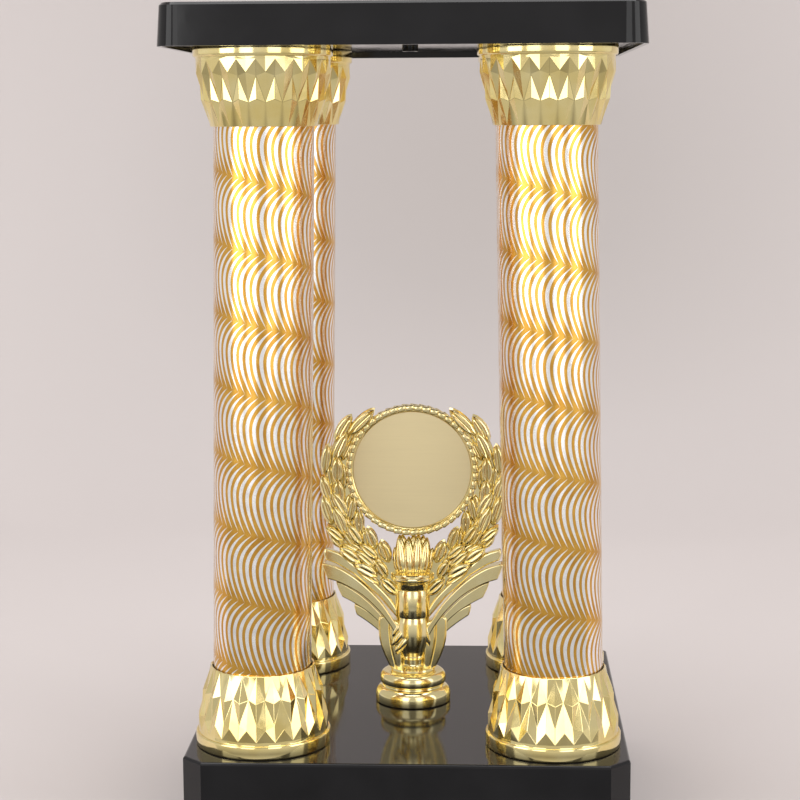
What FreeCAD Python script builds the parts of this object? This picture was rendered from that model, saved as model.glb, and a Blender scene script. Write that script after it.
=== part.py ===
"""Column trophy tier: a black base and a black tray joined by four patterned columns, with a
wreath-and-torch centre holder standing between them.

Frame: origin on the ground under the middle of the base, +Z up, the front faces -Y. Millimetres.
"""

import FreeCAD
import Part
import math
import os

import Sketcher

Vector = FreeCAD.Vector
doc = FreeCAD.newDocument("column_trophy")

# ------------------------------------------------------------------ driving dimensions
SIZES = [
    ("foot_pad_radius", 9.0, "rubber pad under each corner"),
    ("foot_pad_height", 2.5, "pad thickness, from the ground to the bottom cover"),
    ("foot_pad_offset", 68.0, "pad centre from the middle, along X and Y"),
    ("base_side", 175.0, "outside width and depth of the base box"),
    ("base_rim_gap", 1.5, "the base box's rim stands this far above the ground"),
    ("base_top_level", 45.0, "top face of the base above the ground"),
    ("cut_spare", 1.0, "how far a cut starts outside the face it opens, or a boss stops short of a wall"),
    ("base_wall", 2.5, "side wall thickness of the base box"),
    ("base_top_wall", 3.0, "top wall thickness of the base box"),
    ("base_corner_cut", 8.0, "flat cut across each upright corner"),
    ("edge_round", 1.2, "rounded edge round the top of the base"),
    ("boss_radius", 4.5, "screw boss inside each corner of the base"),
    ("boss_offset", 79.0, "screw boss centre from the middle"),
    ("cover_side", 169.4, "bottom cover's width and depth"),
    ("cover_corner_cut", 7.0, "flat cut across the cover's corners"),
    ("cover_thickness", 2.0, "bottom cover"),
    ("cover_screw_radius", 1.5, "self-tapping screw shank"),
    ("cover_screw_hole", 1.7, "clearance hole in the cover"),
    ("cover_screw_pilot", 1.55, "pilot hole in the boss"),
    ("cover_screw_length", 12.0, "shank length"),
    ("cover_screw_head_radius", 3.0, "screw head"),
    ("cover_screw_head_height", 1.6, "screw head"),
    ("weight_side", 150.0, "steel ballast plate's width and depth"),
    ("weight_thickness", 4.0, "steel ballast plate"),
    ("weight_centre_hole", 14.0, "opening round the holder's nut"),
    ("rod_radius", 3.0, "M6 tie rod"),
    ("rod_hole_radius", 3.6, "clearance hole for a tie rod"),
    ("washer_radius", 6.0, "M6 washer"),
    ("washer_thickness", 1.2, "M6 washer"),
    ("washer_hole_radius", 3.3, "M6 washer's hole"),
    ("nut_across_flats", 10.0, "M6 nut"),
    ("nut_height", 5.0, "M6 nut"),
    ("nut_hole_radius", 3.15, "M6 nut's hole, threads left plain"),
    ("rod_end_spare", 1.2, "rod length past each nut"),
    ("column_spacing_base", 117.0, "between column centres on the base"),
    ("column_spacing_tray", 108.2, "between column centres at the tray"),
    ("column_height", 276.5, "from the base's top face to the underside of the tray floor"),
    ("tube_radius", 19.3, "outside of the bare column tube"),
    ("tube_wall", 1.4, "column tube wall"),
    ("film_thickness", 0.25, "printed film round the tube"),
    ("tube_end_gap", 7.4, "from each end of a column to the tube's end"),
    ("film_end_gap", 12.0, "from each end of a column to the film's end"),
    ("ring_radius", 27.0, "plain ring at a cap's wide end"),
    ("ring_height", 5.7, "plain ring"),
    ("ring_round", 0.8, "rounded edge of the plain ring"),
    ("bowl_root_radius", 26.1, "bowl where it leaves the ring"),
    ("bowl_middle_radius", 24.6, "bowl halfway up"),
    ("bowl_middle_height", 19.0, "height of that point"),
    ("bowl_mouth_radius", 20.8, "bowl at its mouth"),
    ("cap_height", 32.0, "whole cap"),
    ("cap_socket_radius", 20.0, "socket that the tube stands in"),
    ("cap_floor_level", 6.8, "socket floor above the cap's wide face"),
    ("cap_floor_thickness", 1.8, "socket floor"),
    ("cap_sleeve_radius", 21.6, "outside of the socket's inner wall"),
    ("cap_groove_radius", 24.4, "inner face of the cap's outer wall"),
    ("cap_groove_height", 14.0, "depth of the hollow between the two walls"),
    ("tray_rim_side", 182.0, "tray width and depth at its lower rim"),
    ("tray_height", 16.0, "tray from rim to top face"),
    ("tray_corner_radius", 9.0, "rounded upright corners at the rim"),
    ("tray_draft", 4.0, "side walls lean in by this many degrees"),
    ("tray_wall", 2.0, "tray side wall"),
    ("tray_top_wall", 2.5, "tray top wall"),
    ("tray_edge_cut", 1.0, "bevel round the tray's top face"),
    ("tray_recess", 2.4, "tray floor set up inside the rim"),
    ("floor_side", 177.0, "tray floor width and depth"),
    ("floor_corner_radius", 7.0, "tray floor corners"),
    ("floor_thickness", 3.0, "tray floor plate"),
    ("topper_hole_radius", 2.1, "central hole for the M4 screw of whatever stands on the tray"),
    ("topper_boss_radius", 6.0, "boss round that hole, inside the tray"),
    ("topper_collar_radius", 3.3, "short collar under the tray floor"),
    ("topper_collar_height", 2.2, "short collar under the tray floor"),
    ("running_gap", 0.1, "face gap where the holder turns on the base"),
    ("holder_foot_radius", 16.0, "lower step of the holder's foot"),
    ("holder_foot_upper_radius", 14.0, "upper step of the foot"),
    ("holder_foot_groove_radius", 12.8, "groove between the steps"),
    ("holder_foot_step", 7.0, "height of the groove"),
    ("holder_foot_height", 13.4, "whole foot"),
    ("holder_stud_radius", 3.0, "M6 stud moulded into the holder"),
    ("holder_bearing_radius", 3.05, "hole in the base that the stud turns in"),
    ("holder_stud_length", 30.8, "whole stud"),
    ("holder_stud_gap", 0.2, "gap round the stud in the foot"),
    ("seat_centre_height", 100.0, "middle of the round seat above the base's top face"),
    ("seat_radius", 27.0, "outside of the round seat"),
    ("seat_thickness", 4.2, "front to back"),
    ("seat_pocket_radius", 25.1, "pocket for the centre disc"),
    ("seat_pocket_depth", 2.2, "pocket for the centre disc"),
    ("disc_radius", 25.0, "standard 50 mm centre disc"),
    ("disc_thickness", 1.0, "centre disc"),
    ("rope_radius", 1.6, "bead ring round the disc"),
    ("rope_ring_radius", 26.6, "middle line of the bead ring"),
    ("laurel_reach", 38.6, "widest point of the laurel branches from the middle"),
    ("laurel_tip_radius", 31.5, "branch tips, from the seat's centre"),
    ("laurel_low_level", 65.7, "where the branches turn in towards the torch"),
    ("laurel_thickness", 7.0, "front to back"),
    ("laurel_opening_angle", 66.0, "upper gap between the branch tips, in degrees"),
    ("torch_root_radius", 9.0, "flange on top of the foot"),
    ("torch_handle_radius", 4.9, "torch handle below the hand"),
    ("torch_grip_radius", 7.6, "closed hand round the handle"),
    ("torch_grip_bottom", 19.4, "lower end of the hand"),
    ("torch_grip_top", 36.6, "upper end of the hand"),
    ("torch_body_radius", 7.4, "plain cylinder of the torch"),
    ("torch_neck_level", 49.0, "top of that cylinder"),
    ("torch_cup_radius", 9.4, "rim of the torch"),
    ("torch_cup_top", 55.6, "top of the rim"),
    ("flame_radius", 7.0, "flame above the rim"),
    ("flame_top", 73.4, "tip of the flame, against the bead ring"),
    ("stud_hole_top", 20.6, "how far the stud's hole goes up into the frame"),
    ("top_feather_reach", 38.5, "top feather's tip from the middle"),
    ("top_feather_upper_tip", 60.0, "top feather's tip, upper corner, height over the base"),
    ("top_feather_lower_tip", 53.5, "top feather's tip, lower corner, height over the base"),
    ("top_feather_upper_root", 35.7, "top feather's root, upper corner, height over the base"),
    ("top_feather_lower_root", 29.0, "top feather's root, lower corner, height over the base"),
    ("middle_feather_reach", 32.34, "middle feather's tip from the middle"),
    ("middle_feather_upper_tip", 53.5, "middle feather's tip, upper corner, height over the base"),
    ("middle_feather_lower_tip", 46.6, "middle feather's tip, lower corner, height over the base"),
    ("middle_feather_upper_root", 31.0, "middle feather's root, upper corner, height over the base"),
    ("middle_feather_lower_root", 27.0, "middle feather's root, lower corner, height over the base"),
    ("low_feather_reach", 25.41, "low feather's tip from the middle"),
    ("low_feather_upper_tip", 46.0, "low feather's tip, upper corner, height over the base"),
    ("low_feather_lower_tip", 37.4, "low feather's tip, lower corner, height over the base"),
    ("low_feather_upper_root", 29.0, "low feather's root, upper corner, height over the base"),
    ("low_feather_lower_root", 25.0, "low feather's root, lower corner, height over the base"),
    ("wing_overlap", 2.0, "how far a feather's root is sunk in the hand"),
    ("wing_tip_slant", 2.0, "how far the lower corner of a feather's tip is set in"),
    ("laurel_overlap", 0.8, "how far a branch is sunk in the seat, the torch and the flame"),
    ("laurel_flame_level", 61.5, "where a branch leaves the flame, height over the base"),
    ("wing_thickness", 6.4, "front to back"),
    ("drapery_thickness", 8.0, "front to back"),
    ("drapery_half_width", 14.0, "folds under the wings"),
    ("drapery_top", 33.0, "folds under the wings"),
]

sheet = doc.addObject("Spreadsheet::Sheet", "Sizes")
for row, (alias, value, meaning) in enumerate(SIZES, start=1):
    sheet.set(f"A{row}", meaning)
    sheet.set(f"B{row}", str(value))
    sheet.setAlias(f"B{row}", alias)
doc.recompute()


def size(alias):
    """The value of a named cell, as a plain number."""
    return float(sheet.get(alias))


# ------------------------------------------------------------------ sketches and features
def new_body(label):
    """A body whose label names its file."""
    body = doc.addObject("PartDesign::Body", label)
    body.Label = label
    return body


def new_sketch(body, name, plane="XY_Plane", level=None):
    """A sketch on one of the body's own planes, raised along its normal by a named cell."""
    sketch = body.newObject("Sketcher::SketchObject", name)
    support = [plane_object for plane_object in body.Origin.OriginFeatures if plane_object.Role == plane]
    sketch.AttachmentSupport = (support[0], [""])
    sketch.MapMode = "FlatFace"
    if level:
        sketch.setExpression("AttachmentOffset.Base.z", level)
    return sketch


def bind(sketch, constraint, expression):
    """Adds a dimension and ties it to the sheet."""
    index = sketch.addConstraint(constraint)
    sketch.setExpression(f"Constraints[{index}]", expression)


def draw_circle(sketch, radius, x=0.0, y=0.0):
    """A circle with its radius from a named cell; its centre is worked out by the caller."""
    circle = sketch.addGeometry(Part.Circle(Vector(x, y, 0), Vector(0, 0, 1), size(radius)))
    if x == 0 and y == 0:
        sketch.addConstraint(Sketcher.Constraint("Coincident", circle, 3, -1, 1))
    else:
        sketch.addConstraint(Sketcher.Constraint("DistanceX", -1, 1, circle, 3, x))
        sketch.addConstraint(Sketcher.Constraint("DistanceY", -1, 1, circle, 3, y))
    bind(sketch, Sketcher.Constraint("Radius", circle, size(radius)), f"Sizes.{radius}")


def draw_square(sketch, side):
    """A square about the origin, its side from a named cell."""
    half = size(side) / 2
    corners = [Vector(-half, -half), Vector(half, -half), Vector(half, half), Vector(-half, half)]
    lines = [sketch.addGeometry(Part.LineSegment(corners[i], corners[(i + 1) % 4])) for i in range(4)]
    for i in range(4):
        sketch.addConstraint(Sketcher.Constraint("Coincident", lines[i], 2, lines[(i + 1) % 4], 1))
        direction = "Horizontal" if i % 2 == 0 else "Vertical"
        sketch.addConstraint(Sketcher.Constraint(direction, lines[i]))
    sketch.addConstraint(Sketcher.Constraint("Symmetric", lines[0], 1, lines[2], 1, -1, 1))
    bind(sketch, Sketcher.Constraint("DistanceX", lines[0], 1, lines[0], 2, 2 * half), f"Sizes.{side}")
    bind(sketch, Sketcher.Constraint("DistanceY", lines[1], 1, lines[1], 2, 2 * half), f"Sizes.{side}")


def draw_outline(sketch, corners, arcs=()):
    """A closed outline in the first quadrant. Each corner is a pair of cell names, None for the axis.
    arcs holds {segment: (x, y)} for the segments that bend through a middle point."""
    arcs = dict(arcs)
    points = [Vector(size(x) if x else 0, size(y) if y else 0) for x, y in corners]
    segments = []
    for i, start in enumerate(points):
        end = points[(i + 1) % len(points)]
        if i in arcs:
            middle = Vector(size(arcs[i][0]), size(arcs[i][1]))
            segments.append((sketch.addGeometry(Part.Arc(start, middle, end)), True))
        else:
            segments.append((sketch.addGeometry(Part.LineSegment(start, end)), False))
    for i, (geometry, bent) in enumerate(segments):
        start_vertex = 1
        if bent and (sketch.getPoint(geometry, 1) - points[i]).Length > 1e-6:
            start_vertex = 2
        x, y = corners[i]
        if x:
            bind(sketch, Sketcher.Constraint("DistanceX", -1, 1, geometry, start_vertex, size(x)), f"Sizes.{x}")
        else:
            sketch.addConstraint(Sketcher.Constraint("PointOnObject", geometry, start_vertex, -2))
        if y:
            bind(sketch, Sketcher.Constraint("DistanceY", -1, 1, geometry, start_vertex, size(y)), f"Sizes.{y}")
        else:
            sketch.addConstraint(Sketcher.Constraint("PointOnObject", geometry, start_vertex, -1))
        following, following_bent = segments[(i + 1) % len(segments)]
        next_point = points[(i + 1) % len(points)]
        end_vertex = 3 - start_vertex
        next_vertex = 1
        if following_bent and (sketch.getPoint(following, 1) - next_point).Length > 1e-6:
            next_vertex = 2
        sketch.addConstraint(Sketcher.Constraint("Coincident", geometry, end_vertex, following, next_vertex))


def pad(body, sketch, length, reverse=False, taper=None):
    """Raises a sketch by a named cell."""
    feature = body.newObject("PartDesign::Pad", "Pad")
    feature.Profile = sketch
    feature.Reversed = reverse
    feature.setExpression("Length", length)
    if taper:
        feature.setExpression("TaperAngle", taper)
    return feature


def cut(body, sketch, length=None, upward=True):
    """Cuts a sketch's outline into the body: through all of it, or by an expression."""
    doc.recompute()
    before = body.Shape.Volume
    feature = body.newObject("PartDesign::Pocket", "Pocket")
    feature.Profile = sketch
    feature.Reversed = upward
    if length:
        feature.setExpression("Length", length)
    else:
        feature.Type = "ThroughAll"
    doc.recompute()
    if not body.Shape.Volume < before - 1e-3:
        raise ValueError(f"{body.Label}: a cut removed nothing")
    return feature


def dress(body, kind, amount, wanted):
    """Fillets or chamfers the edges that the test picks."""
    doc.recompute()
    base = body.Tip
    names = [f"Edge{i}" for i, edge in enumerate(base.Shape.Edges, start=1) if wanted(edge)]
    if not names:
        raise ValueError(f"{body.Label}: no edge to dress")
    feature = body.newObject(f"PartDesign::{kind}", kind)
    feature.Base = (base, names)
    feature.setExpression("Radius" if kind == "Fillet" else "Size", amount)
    doc.recompute()
    return feature


def upright(edge):
    """True for a straight edge that runs along Z, or nearly so."""
    ends = [vertex.Point for vertex in edge.Vertexes]
    return len(ends) == 2 and abs(ends[0].z - ends[1].z) > 0.98 * (ends[0] - ends[1]).Length


def level_with(z):
    """A test for edges that lie flat at one height."""
    return lambda edge: all(abs(vertex.Point.z - z) < 1e-4 for vertex in edge.Vertexes)


# ------------------------------------------------------------------ levels and column places
BASE_TOP = size("base_top_level")
CEILING = BASE_TOP + size("column_height")
TRAY_RIM = CEILING - size("tray_recess")
FLOOR_TOP = CEILING + size("floor_thickness")
WEIGHT_TOP = BASE_TOP - size("base_top_wall")
WEIGHT_UNDERSIDE = WEIGHT_TOP - size("weight_thickness")
ROD_REACH = size("washer_thickness") + size("nut_height") + size("rod_end_spare")
HOLDER_LEVEL = BASE_TOP + size("running_gap")
SEAT_HEIGHT = HOLDER_LEVEL + size("seat_centre_height")
CORNERS = {
    "front_left": (-1, -1),
    "front_right": (1, -1),
    "back_left": (-1, 1),
    "back_right": (1, 1),
}


def column_point(corner, z):
    """A point on the middle line of a column: each leans in a little, because the tray's holes lie
    closer together than the base's."""
    x_side, y_side = CORNERS[corner]
    share = (z - BASE_TOP) / size("column_height")
    half = (size("column_spacing_base") * (1 - share) + size("column_spacing_tray") * share) / 2
    return Vector(x_side * half, y_side * half, z)


def column_placement(corner, z):
    """Stands a piece on the column's line at height z, turned along that line."""
    direction = column_point(corner, CEILING) - column_point(corner, BASE_TOP)
    return FreeCAD.Placement(column_point(corner, z), FreeCAD.Rotation(Vector(0, 0, 1), direction))


# ------------------------------------------------------------------ base
def make_base_shell():
    """Moulded box, open below, with a screw boss in each corner."""
    body = new_body("base_shell")
    outline = new_sketch(body, "base_outline", level="Sizes.base_rim_gap")
    draw_square(outline, "base_side")
    pad(body, outline, "Sizes.base_top_level - Sizes.base_rim_gap")
    dress(body, "Chamfer", "Sizes.base_corner_cut", upright)
    dress(body, "Fillet", "Sizes.edge_round", level_with(BASE_TOP))
    hollow = new_sketch(body, "hollow_outline", level="Sizes.base_rim_gap")
    inside = size("base_side") / 2 - size("base_wall")
    inner_cut = size("base_corner_cut") - size("base_wall") * (2 - math.sqrt(2))
    draw_cut_square(hollow, inside, inner_cut)
    cut(body, hollow, "Sizes.base_top_level - Sizes.base_rim_gap - Sizes.base_top_wall")
    bosses = new_sketch(body, "boss_circles", level="Sizes.foot_pad_height + Sizes.cover_thickness")
    offset = size("boss_offset")
    for x_side, y_side in CORNERS.values():
        draw_circle(bosses, "boss_radius", x_side * offset, y_side * offset)
    pad(body, bosses, "Sizes.base_top_level - Sizes.foot_pad_height - Sizes.cover_thickness - Sizes.cut_spare")
    pilots = new_sketch(body, "pilot_circles", level="Sizes.foot_pad_height + Sizes.cover_thickness")
    for x_side, y_side in CORNERS.values():
        draw_circle(pilots, "cover_screw_pilot", x_side * offset, y_side * offset)
    cut(body, pilots, "Sizes.cover_screw_length + 2 * Sizes.cut_spare")
    holes = new_sketch(body, "rod_holes", level="Sizes.base_top_level - Sizes.base_top_wall - Sizes.cut_spare")
    for corner in CORNERS:
        point = column_point(corner, BASE_TOP)
        draw_circle(holes, "rod_hole_radius", point.x, point.y)
    draw_circle(holes, "holder_bearing_radius")
    cut(body, holes, "Sizes.base_top_wall + 2 * Sizes.cut_spare")


def draw_cut_square(sketch, half, corner_cut):
    """A square with its corners cut off at 45 degrees, about the origin."""
    near = half - corner_cut
    points = []
    for x, y in ((near, -half), (half, -near), (half, near), (near, half)):
        points.append(Vector(x, y))
    for x, y in ((-near, half), (-half, near), (-half, -near), (-near, -half)):
        points.append(Vector(x, y))
    count = len(points)
    lines = [sketch.addGeometry(Part.LineSegment(points[i], points[(i + 1) % count])) for i in range(count)]
    for i in range(count):
        sketch.addConstraint(Sketcher.Constraint("Coincident", lines[i], 2, lines[(i + 1) % count], 1))
        sketch.addConstraint(Sketcher.Constraint("DistanceX", -1, 1, lines[i], 1, points[i].x))
        sketch.addConstraint(Sketcher.Constraint("DistanceY", -1, 1, lines[i], 1, points[i].y))


def make_base_weight():
    """Steel ballast plate under the base's top wall, on the same four rods."""
    body = new_body("base_weight")
    outline = new_sketch(body, "weight_outline")
    draw_square(outline, "weight_side")
    pad(body, outline, "Sizes.weight_thickness")
    holes = new_sketch(body, "weight_holes")
    for corner in CORNERS:
        point = column_point(corner, WEIGHT_UNDERSIDE)
        draw_circle(holes, "rod_hole_radius", point.x, point.y)
    draw_circle(holes, "weight_centre_hole")
    cut(body, holes)
    body.Placement = FreeCAD.Placement(Vector(0, 0, WEIGHT_UNDERSIDE), FreeCAD.Rotation())


def make_base_cover():
    """Flat cover that closes the base from below."""
    body = new_body("base_cover")
    outline = new_sketch(body, "cover_outline")
    draw_cut_square(outline, size("cover_side") / 2, size("cover_corner_cut"))
    pad(body, outline, "Sizes.cover_thickness")
    holes = new_sketch(body, "cover_holes")
    offset = size("boss_offset")
    for x_side, y_side in CORNERS.values():
        draw_circle(holes, "cover_screw_hole", x_side * offset, y_side * offset)
    cut(body, holes)
    body.Placement = FreeCAD.Placement(Vector(0, 0, size("foot_pad_height")), FreeCAD.Rotation())


def repeat_at(label, prototype, placements):
    """One node of like pieces: a separate solid at each place."""
    doc.recompute()
    group = doc.addObject("Part::Feature", label)
    group.Label = label
    solids = []
    for place in placements:
        solid = prototype.Shape.copy()
        solid.Placement = place.multiply(prototype.Shape.Placement)
        solids.append(solid)
    group.Shape = Part.makeCompound(solids)
    group.Placement = FreeCAD.Placement()


def shifted(x, y, z):
    return FreeCAD.Placement(Vector(x, y, z), FreeCAD.Rotation())


def corner_places(offset, z):
    return [shifted(x_side * offset, y_side * offset, z) for x_side, y_side in CORNERS.values()]


def make_foot_pads():
    """Four round rubber pads stuck under the cover."""
    pad_shape = doc.addObject("Part::Cylinder", "pad_pattern")
    pad_shape.setExpression("Radius", "Sizes.foot_pad_radius")
    pad_shape.setExpression("Height", "Sizes.foot_pad_height")
    rounded = doc.addObject("Part::Fillet", "pad_rounded")
    rounded.Base = pad_shape
    doc.recompute()
    lower = [i for i, edge in enumerate(pad_shape.Shape.Edges, start=1) if level_with(0)(edge)]
    rounded.Edges = [(i, 0.5, 0.5) for i in lower]
    repeat_at("foot_pads", rounded, corner_places(size("foot_pad_offset"), 0))


def make_cover_screws():
    """Four pan-head self-tapping screws that hold the cover."""
    shank = doc.addObject("Part::Cylinder", "screw_shank")
    shank.setExpression("Radius", "Sizes.cover_screw_radius")
    shank.setExpression("Height", "Sizes.cover_screw_length")
    head = doc.addObject("Part::Cylinder", "screw_head")
    head.setExpression("Radius", "Sizes.cover_screw_head_radius")
    head.setExpression("Height", "Sizes.cover_screw_head_height")
    head.setExpression("Placement.Base.z", "-Sizes.cover_screw_head_height")
    slot = doc.addObject("Part::Box", "screw_slot")
    slot.Length = 2 * size("cover_screw_head_radius")
    slot.Width = 0.8
    slot.Height = 0.8
    slot.Placement = shifted(-size("cover_screw_head_radius"), -0.4, -size("cover_screw_head_height"))
    joined = doc.addObject("Part::MultiFuse", "screw_joined")
    joined.Shapes = [shank, head]
    slotted = doc.addObject("Part::Cut", "screw_pattern")
    slotted.Base = joined
    slotted.Tool = slot
    repeat_at("cover_screws", slotted, corner_places(size("boss_offset"), size("foot_pad_height")))


# ------------------------------------------------------------------ columns
def make_cap_pattern():
    """Plated plastic cap: plain ring, bowl, a socket for the tube and a hollow between the walls."""
    body = new_body("cap_pattern")
    outline = new_sketch(body, "cap_outline", "XZ_Plane")
    corners = [
        ("rod_hole_radius", "cap_floor_base"),
        ("cap_sleeve_radius", "cap_floor_base"),
        ("cap_sleeve_radius", "cap_groove_height"),
        ("cap_groove_radius", "cap_groove_height"),
        ("cap_groove_radius", None),
        ("ring_radius", None),
        ("ring_radius", "ring_height"),
        ("bowl_root_radius", "ring_height"),
        ("bowl_mouth_radius", "cap_height"),
        ("cap_socket_radius", "cap_height"),
        ("cap_socket_radius", "cap_floor_level"),
        ("rod_hole_radius", "cap_floor_level"),
    ]
    draw_outline(outline, corners, {7: ("bowl_middle_radius", "bowl_middle_height")})
    turned = body.newObject("PartDesign::Revolution", "Revolution")
    turned.Profile = outline
    turned.ReferenceAxis = (outline, ["V_Axis"])
    turned.Angle = 360
    doc.recompute()
    ring = size("ring_radius")
    dress(body, "Fillet", "Sizes.ring_round", lambda edge: edge_circle(edge, ring))
    return body


def edge_circle(edge, radius):
    """True for a full circular edge of one radius."""
    return isinstance(edge.Curve, Part.Circle) and abs(edge.Curve.Radius - radius) < 1e-4


def make_caps(pattern):
    """Four caps stand on the base; four hang upside down under the tray."""
    doc.recompute()
    for corner in CORNERS:
        middle = column_point(corner, BASE_TOP + size("cap_height"))
        lower = doc.addObject("Part::Feature", f"lower_cap_{corner}")
        lower.Label = f"lower_cap_{corner}"
        lower.Shape = pattern.Shape.copy()
        lower.Placement = shifted(middle.x, middle.y, BASE_TOP)
        middle = column_point(corner, CEILING - size("cap_height"))
        upper = doc.addObject("Part::Feature", f"upper_cap_{corner}")
        upper.Label = f"upper_cap_{corner}"
        upper.Shape = pattern.Shape.copy()
        upside_down = FreeCAD.Rotation(Vector(1, 0, 0), 180)
        upper.Placement = FreeCAD.Placement(Vector(middle.x, middle.y, CEILING), upside_down)


def make_column(corner):
    """A plastic tube, the printed film round it and the tie rod through it."""
    tube = new_body(f"column_tube_{corner}")
    rings = new_sketch(tube, "tube_section")
    draw_circle(rings, "tube_radius")
    draw_circle(rings, "tube_bore_radius")
    pad(tube, rings, "Sizes.column_height - 2 * Sizes.tube_end_gap")
    tube.Placement = column_placement(corner, BASE_TOP + size("tube_end_gap"))
    film = new_body(f"column_film_{corner}")
    rings = new_sketch(film, "film_section")
    draw_circle(rings, "film_radius")
    draw_circle(rings, "tube_radius")
    pad(film, rings, "Sizes.column_height - 2 * Sizes.film_end_gap")
    film.Placement = column_placement(corner, BASE_TOP + size("film_end_gap"))
    rod = new_body(f"tie_rod_{corner}")
    disc = new_sketch(rod, "rod_section")
    draw_circle(disc, "rod_radius")
    pad(rod, disc, "Sizes.rod_length")
    dress(rod, "Chamfer", "Sizes.rod_radius / 5", lambda edge: edge_circle(edge, size("rod_radius")))
    rod.Placement = column_placement(corner, WEIGHT_UNDERSIDE - ROD_REACH)


def make_fastener_patterns():
    """One M6 washer and one M6 nut."""
    washer = new_body("washer_pattern")
    rings = new_sketch(washer, "washer_section")
    draw_circle(rings, "washer_radius")
    draw_circle(rings, "washer_hole_radius")
    pad(washer, rings, "Sizes.washer_thickness")
    nut = new_body("nut_pattern")
    hexagon = new_sketch(nut, "nut_section")
    reach = size("nut_across_flats") / math.sqrt(3)
    points = [Vector(reach * math.cos(math.radians(60 * i)), reach * math.sin(math.radians(60 * i)))
              for i in range(6)]
    lines = [hexagon.addGeometry(Part.LineSegment(points[i], points[(i + 1) % 6])) for i in range(6)]
    for i in range(6):
        hexagon.addConstraint(Sketcher.Constraint("Coincident", lines[i], 2, lines[(i + 1) % 6], 1))
        hexagon.addConstraint(Sketcher.Constraint("DistanceX", -1, 1, lines[i], 1, points[i].x))
        hexagon.addConstraint(Sketcher.Constraint("DistanceY", -1, 1, lines[i], 1, points[i].y))
    draw_circle(hexagon, "nut_hole_radius")
    pad(nut, hexagon, "Sizes.nut_height")
    return washer, nut


def make_rod_fasteners(washer, nut):
    """Washers and nuts at both ends of the four rods."""
    below = WEIGHT_UNDERSIDE - size("washer_thickness")
    spots = {
        "base_washers": (washer, below),
        "base_nuts": (nut, below - size("nut_height")),
        "tray_washers": (washer, FLOOR_TOP),
        "tray_nuts": (nut, FLOOR_TOP + size("washer_thickness")),
    }
    for label, (pattern, z) in spots.items():
        places = []
        for corner in CORNERS:
            point = column_point(corner, z)
            places.append(shifted(point.x, point.y, z))
        repeat_at(label, pattern, places)


# ------------------------------------------------------------------ tray
def draw_round_square(sketch, side, radius):
    """A square with rounded corners about the origin, from two named cells."""
    half = size(side) / 2
    corner_radius = size(radius)
    inner = half - corner_radius
    middles = [(inner, -inner), (inner, inner), (-inner, inner), (-inner, -inner)]
    lines = []
    arcs = []
    for i, (x, y) in enumerate(middles):
        first = math.radians(-90 + 90 * i)
        circle = Part.Circle(Vector(x, y), Vector(0, 0, 1), corner_radius)
        arcs.append(sketch.addGeometry(Part.ArcOfCircle(circle, first, first + math.pi / 2)))
        following_x, following_y = middles[(i + 1) % 4]
        leaving = first + math.pi / 2
        reach = Vector(corner_radius * math.cos(leaving), corner_radius * math.sin(leaving))
        start = Vector(x, y) + reach
        end = Vector(following_x, following_y) + reach
        lines.append(sketch.addGeometry(Part.LineSegment(start, end)))
    for i in range(4):
        sketch.addConstraint(Sketcher.Constraint("Tangent", arcs[i], 2, lines[i], 1))
        sketch.addConstraint(Sketcher.Constraint("Tangent", lines[i], 2, arcs[(i + 1) % 4], 1))
        direction = "Vertical" if i % 2 == 0 else "Horizontal"
        sketch.addConstraint(Sketcher.Constraint(direction, lines[i]))
    for i in range(1, 4):
        sketch.addConstraint(Sketcher.Constraint("Equal", arcs[0], arcs[i]))
    sketch.addConstraint(Sketcher.Constraint("Symmetric", arcs[0], 3, arcs[2], 3, -1, 1))
    bind(sketch, Sketcher.Constraint("Radius", arcs[0], corner_radius), f"Sizes.{radius}")
    across = f"Sizes.{side} - 2 * Sizes.{radius}"
    bind(sketch, Sketcher.Constraint("DistanceX", arcs[3], 3, arcs[0], 3, 2 * inner), across)
    bind(sketch, Sketcher.Constraint("DistanceY", arcs[0], 3, arcs[1], 3, 2 * inner), across)


def make_tray_shell():
    """Downturned moulded tray with a central boss for whatever stands on it."""
    body = new_body("tray_shell")
    outline = new_sketch(body, "tray_outline")
    draw_round_square(outline, "tray_rim_side", "tray_corner_radius")
    pad(body, outline, "Sizes.tray_height", taper="-Sizes.tray_draft")
    dress(body, "Chamfer", "Sizes.tray_edge_cut", level_with(size("tray_height")))
    hollow = new_sketch(body, "tray_hollow")
    draw_round_square(hollow, "tray_inner_side", "tray_inner_corner")
    pocket = cut(body, hollow, "Sizes.tray_height - Sizes.tray_top_wall")
    pocket.setExpression("TaperAngle", "-Sizes.tray_draft")
    boss = new_sketch(body, "boss_circle", level="Sizes.tray_recess + Sizes.floor_thickness")
    draw_circle(boss, "topper_boss_radius")
    pad(body, boss, "Sizes.tray_height - Sizes.tray_recess - Sizes.floor_thickness - Sizes.cut_spare")
    hole = new_sketch(body, "topper_hole")
    draw_circle(hole, "topper_hole_radius")
    cut(body, hole)
    body.Placement = shifted(0, 0, TRAY_RIM)


def make_tray_floor():
    """Flat plate inside the tray that the upper caps bear on."""
    body = new_body("tray_floor")
    outline = new_sketch(body, "floor_outline")
    draw_round_square(outline, "floor_side", "floor_corner_radius")
    pad(body, outline, "Sizes.floor_thickness")
    collar = new_sketch(body, "collar_circle")
    draw_circle(collar, "topper_collar_radius")
    pad(body, collar, "Sizes.topper_collar_height", reverse=True)
    holes = new_sketch(body, "floor_holes", level="-Sizes.topper_collar_height")
    for corner in CORNERS:
        point = column_point(corner, CEILING)
        draw_circle(holes, "rod_hole_radius", point.x, point.y)
    draw_circle(holes, "topper_hole_radius")
    cut(body, holes)
    body.Placement = shifted(0, 0, CEILING)


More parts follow.
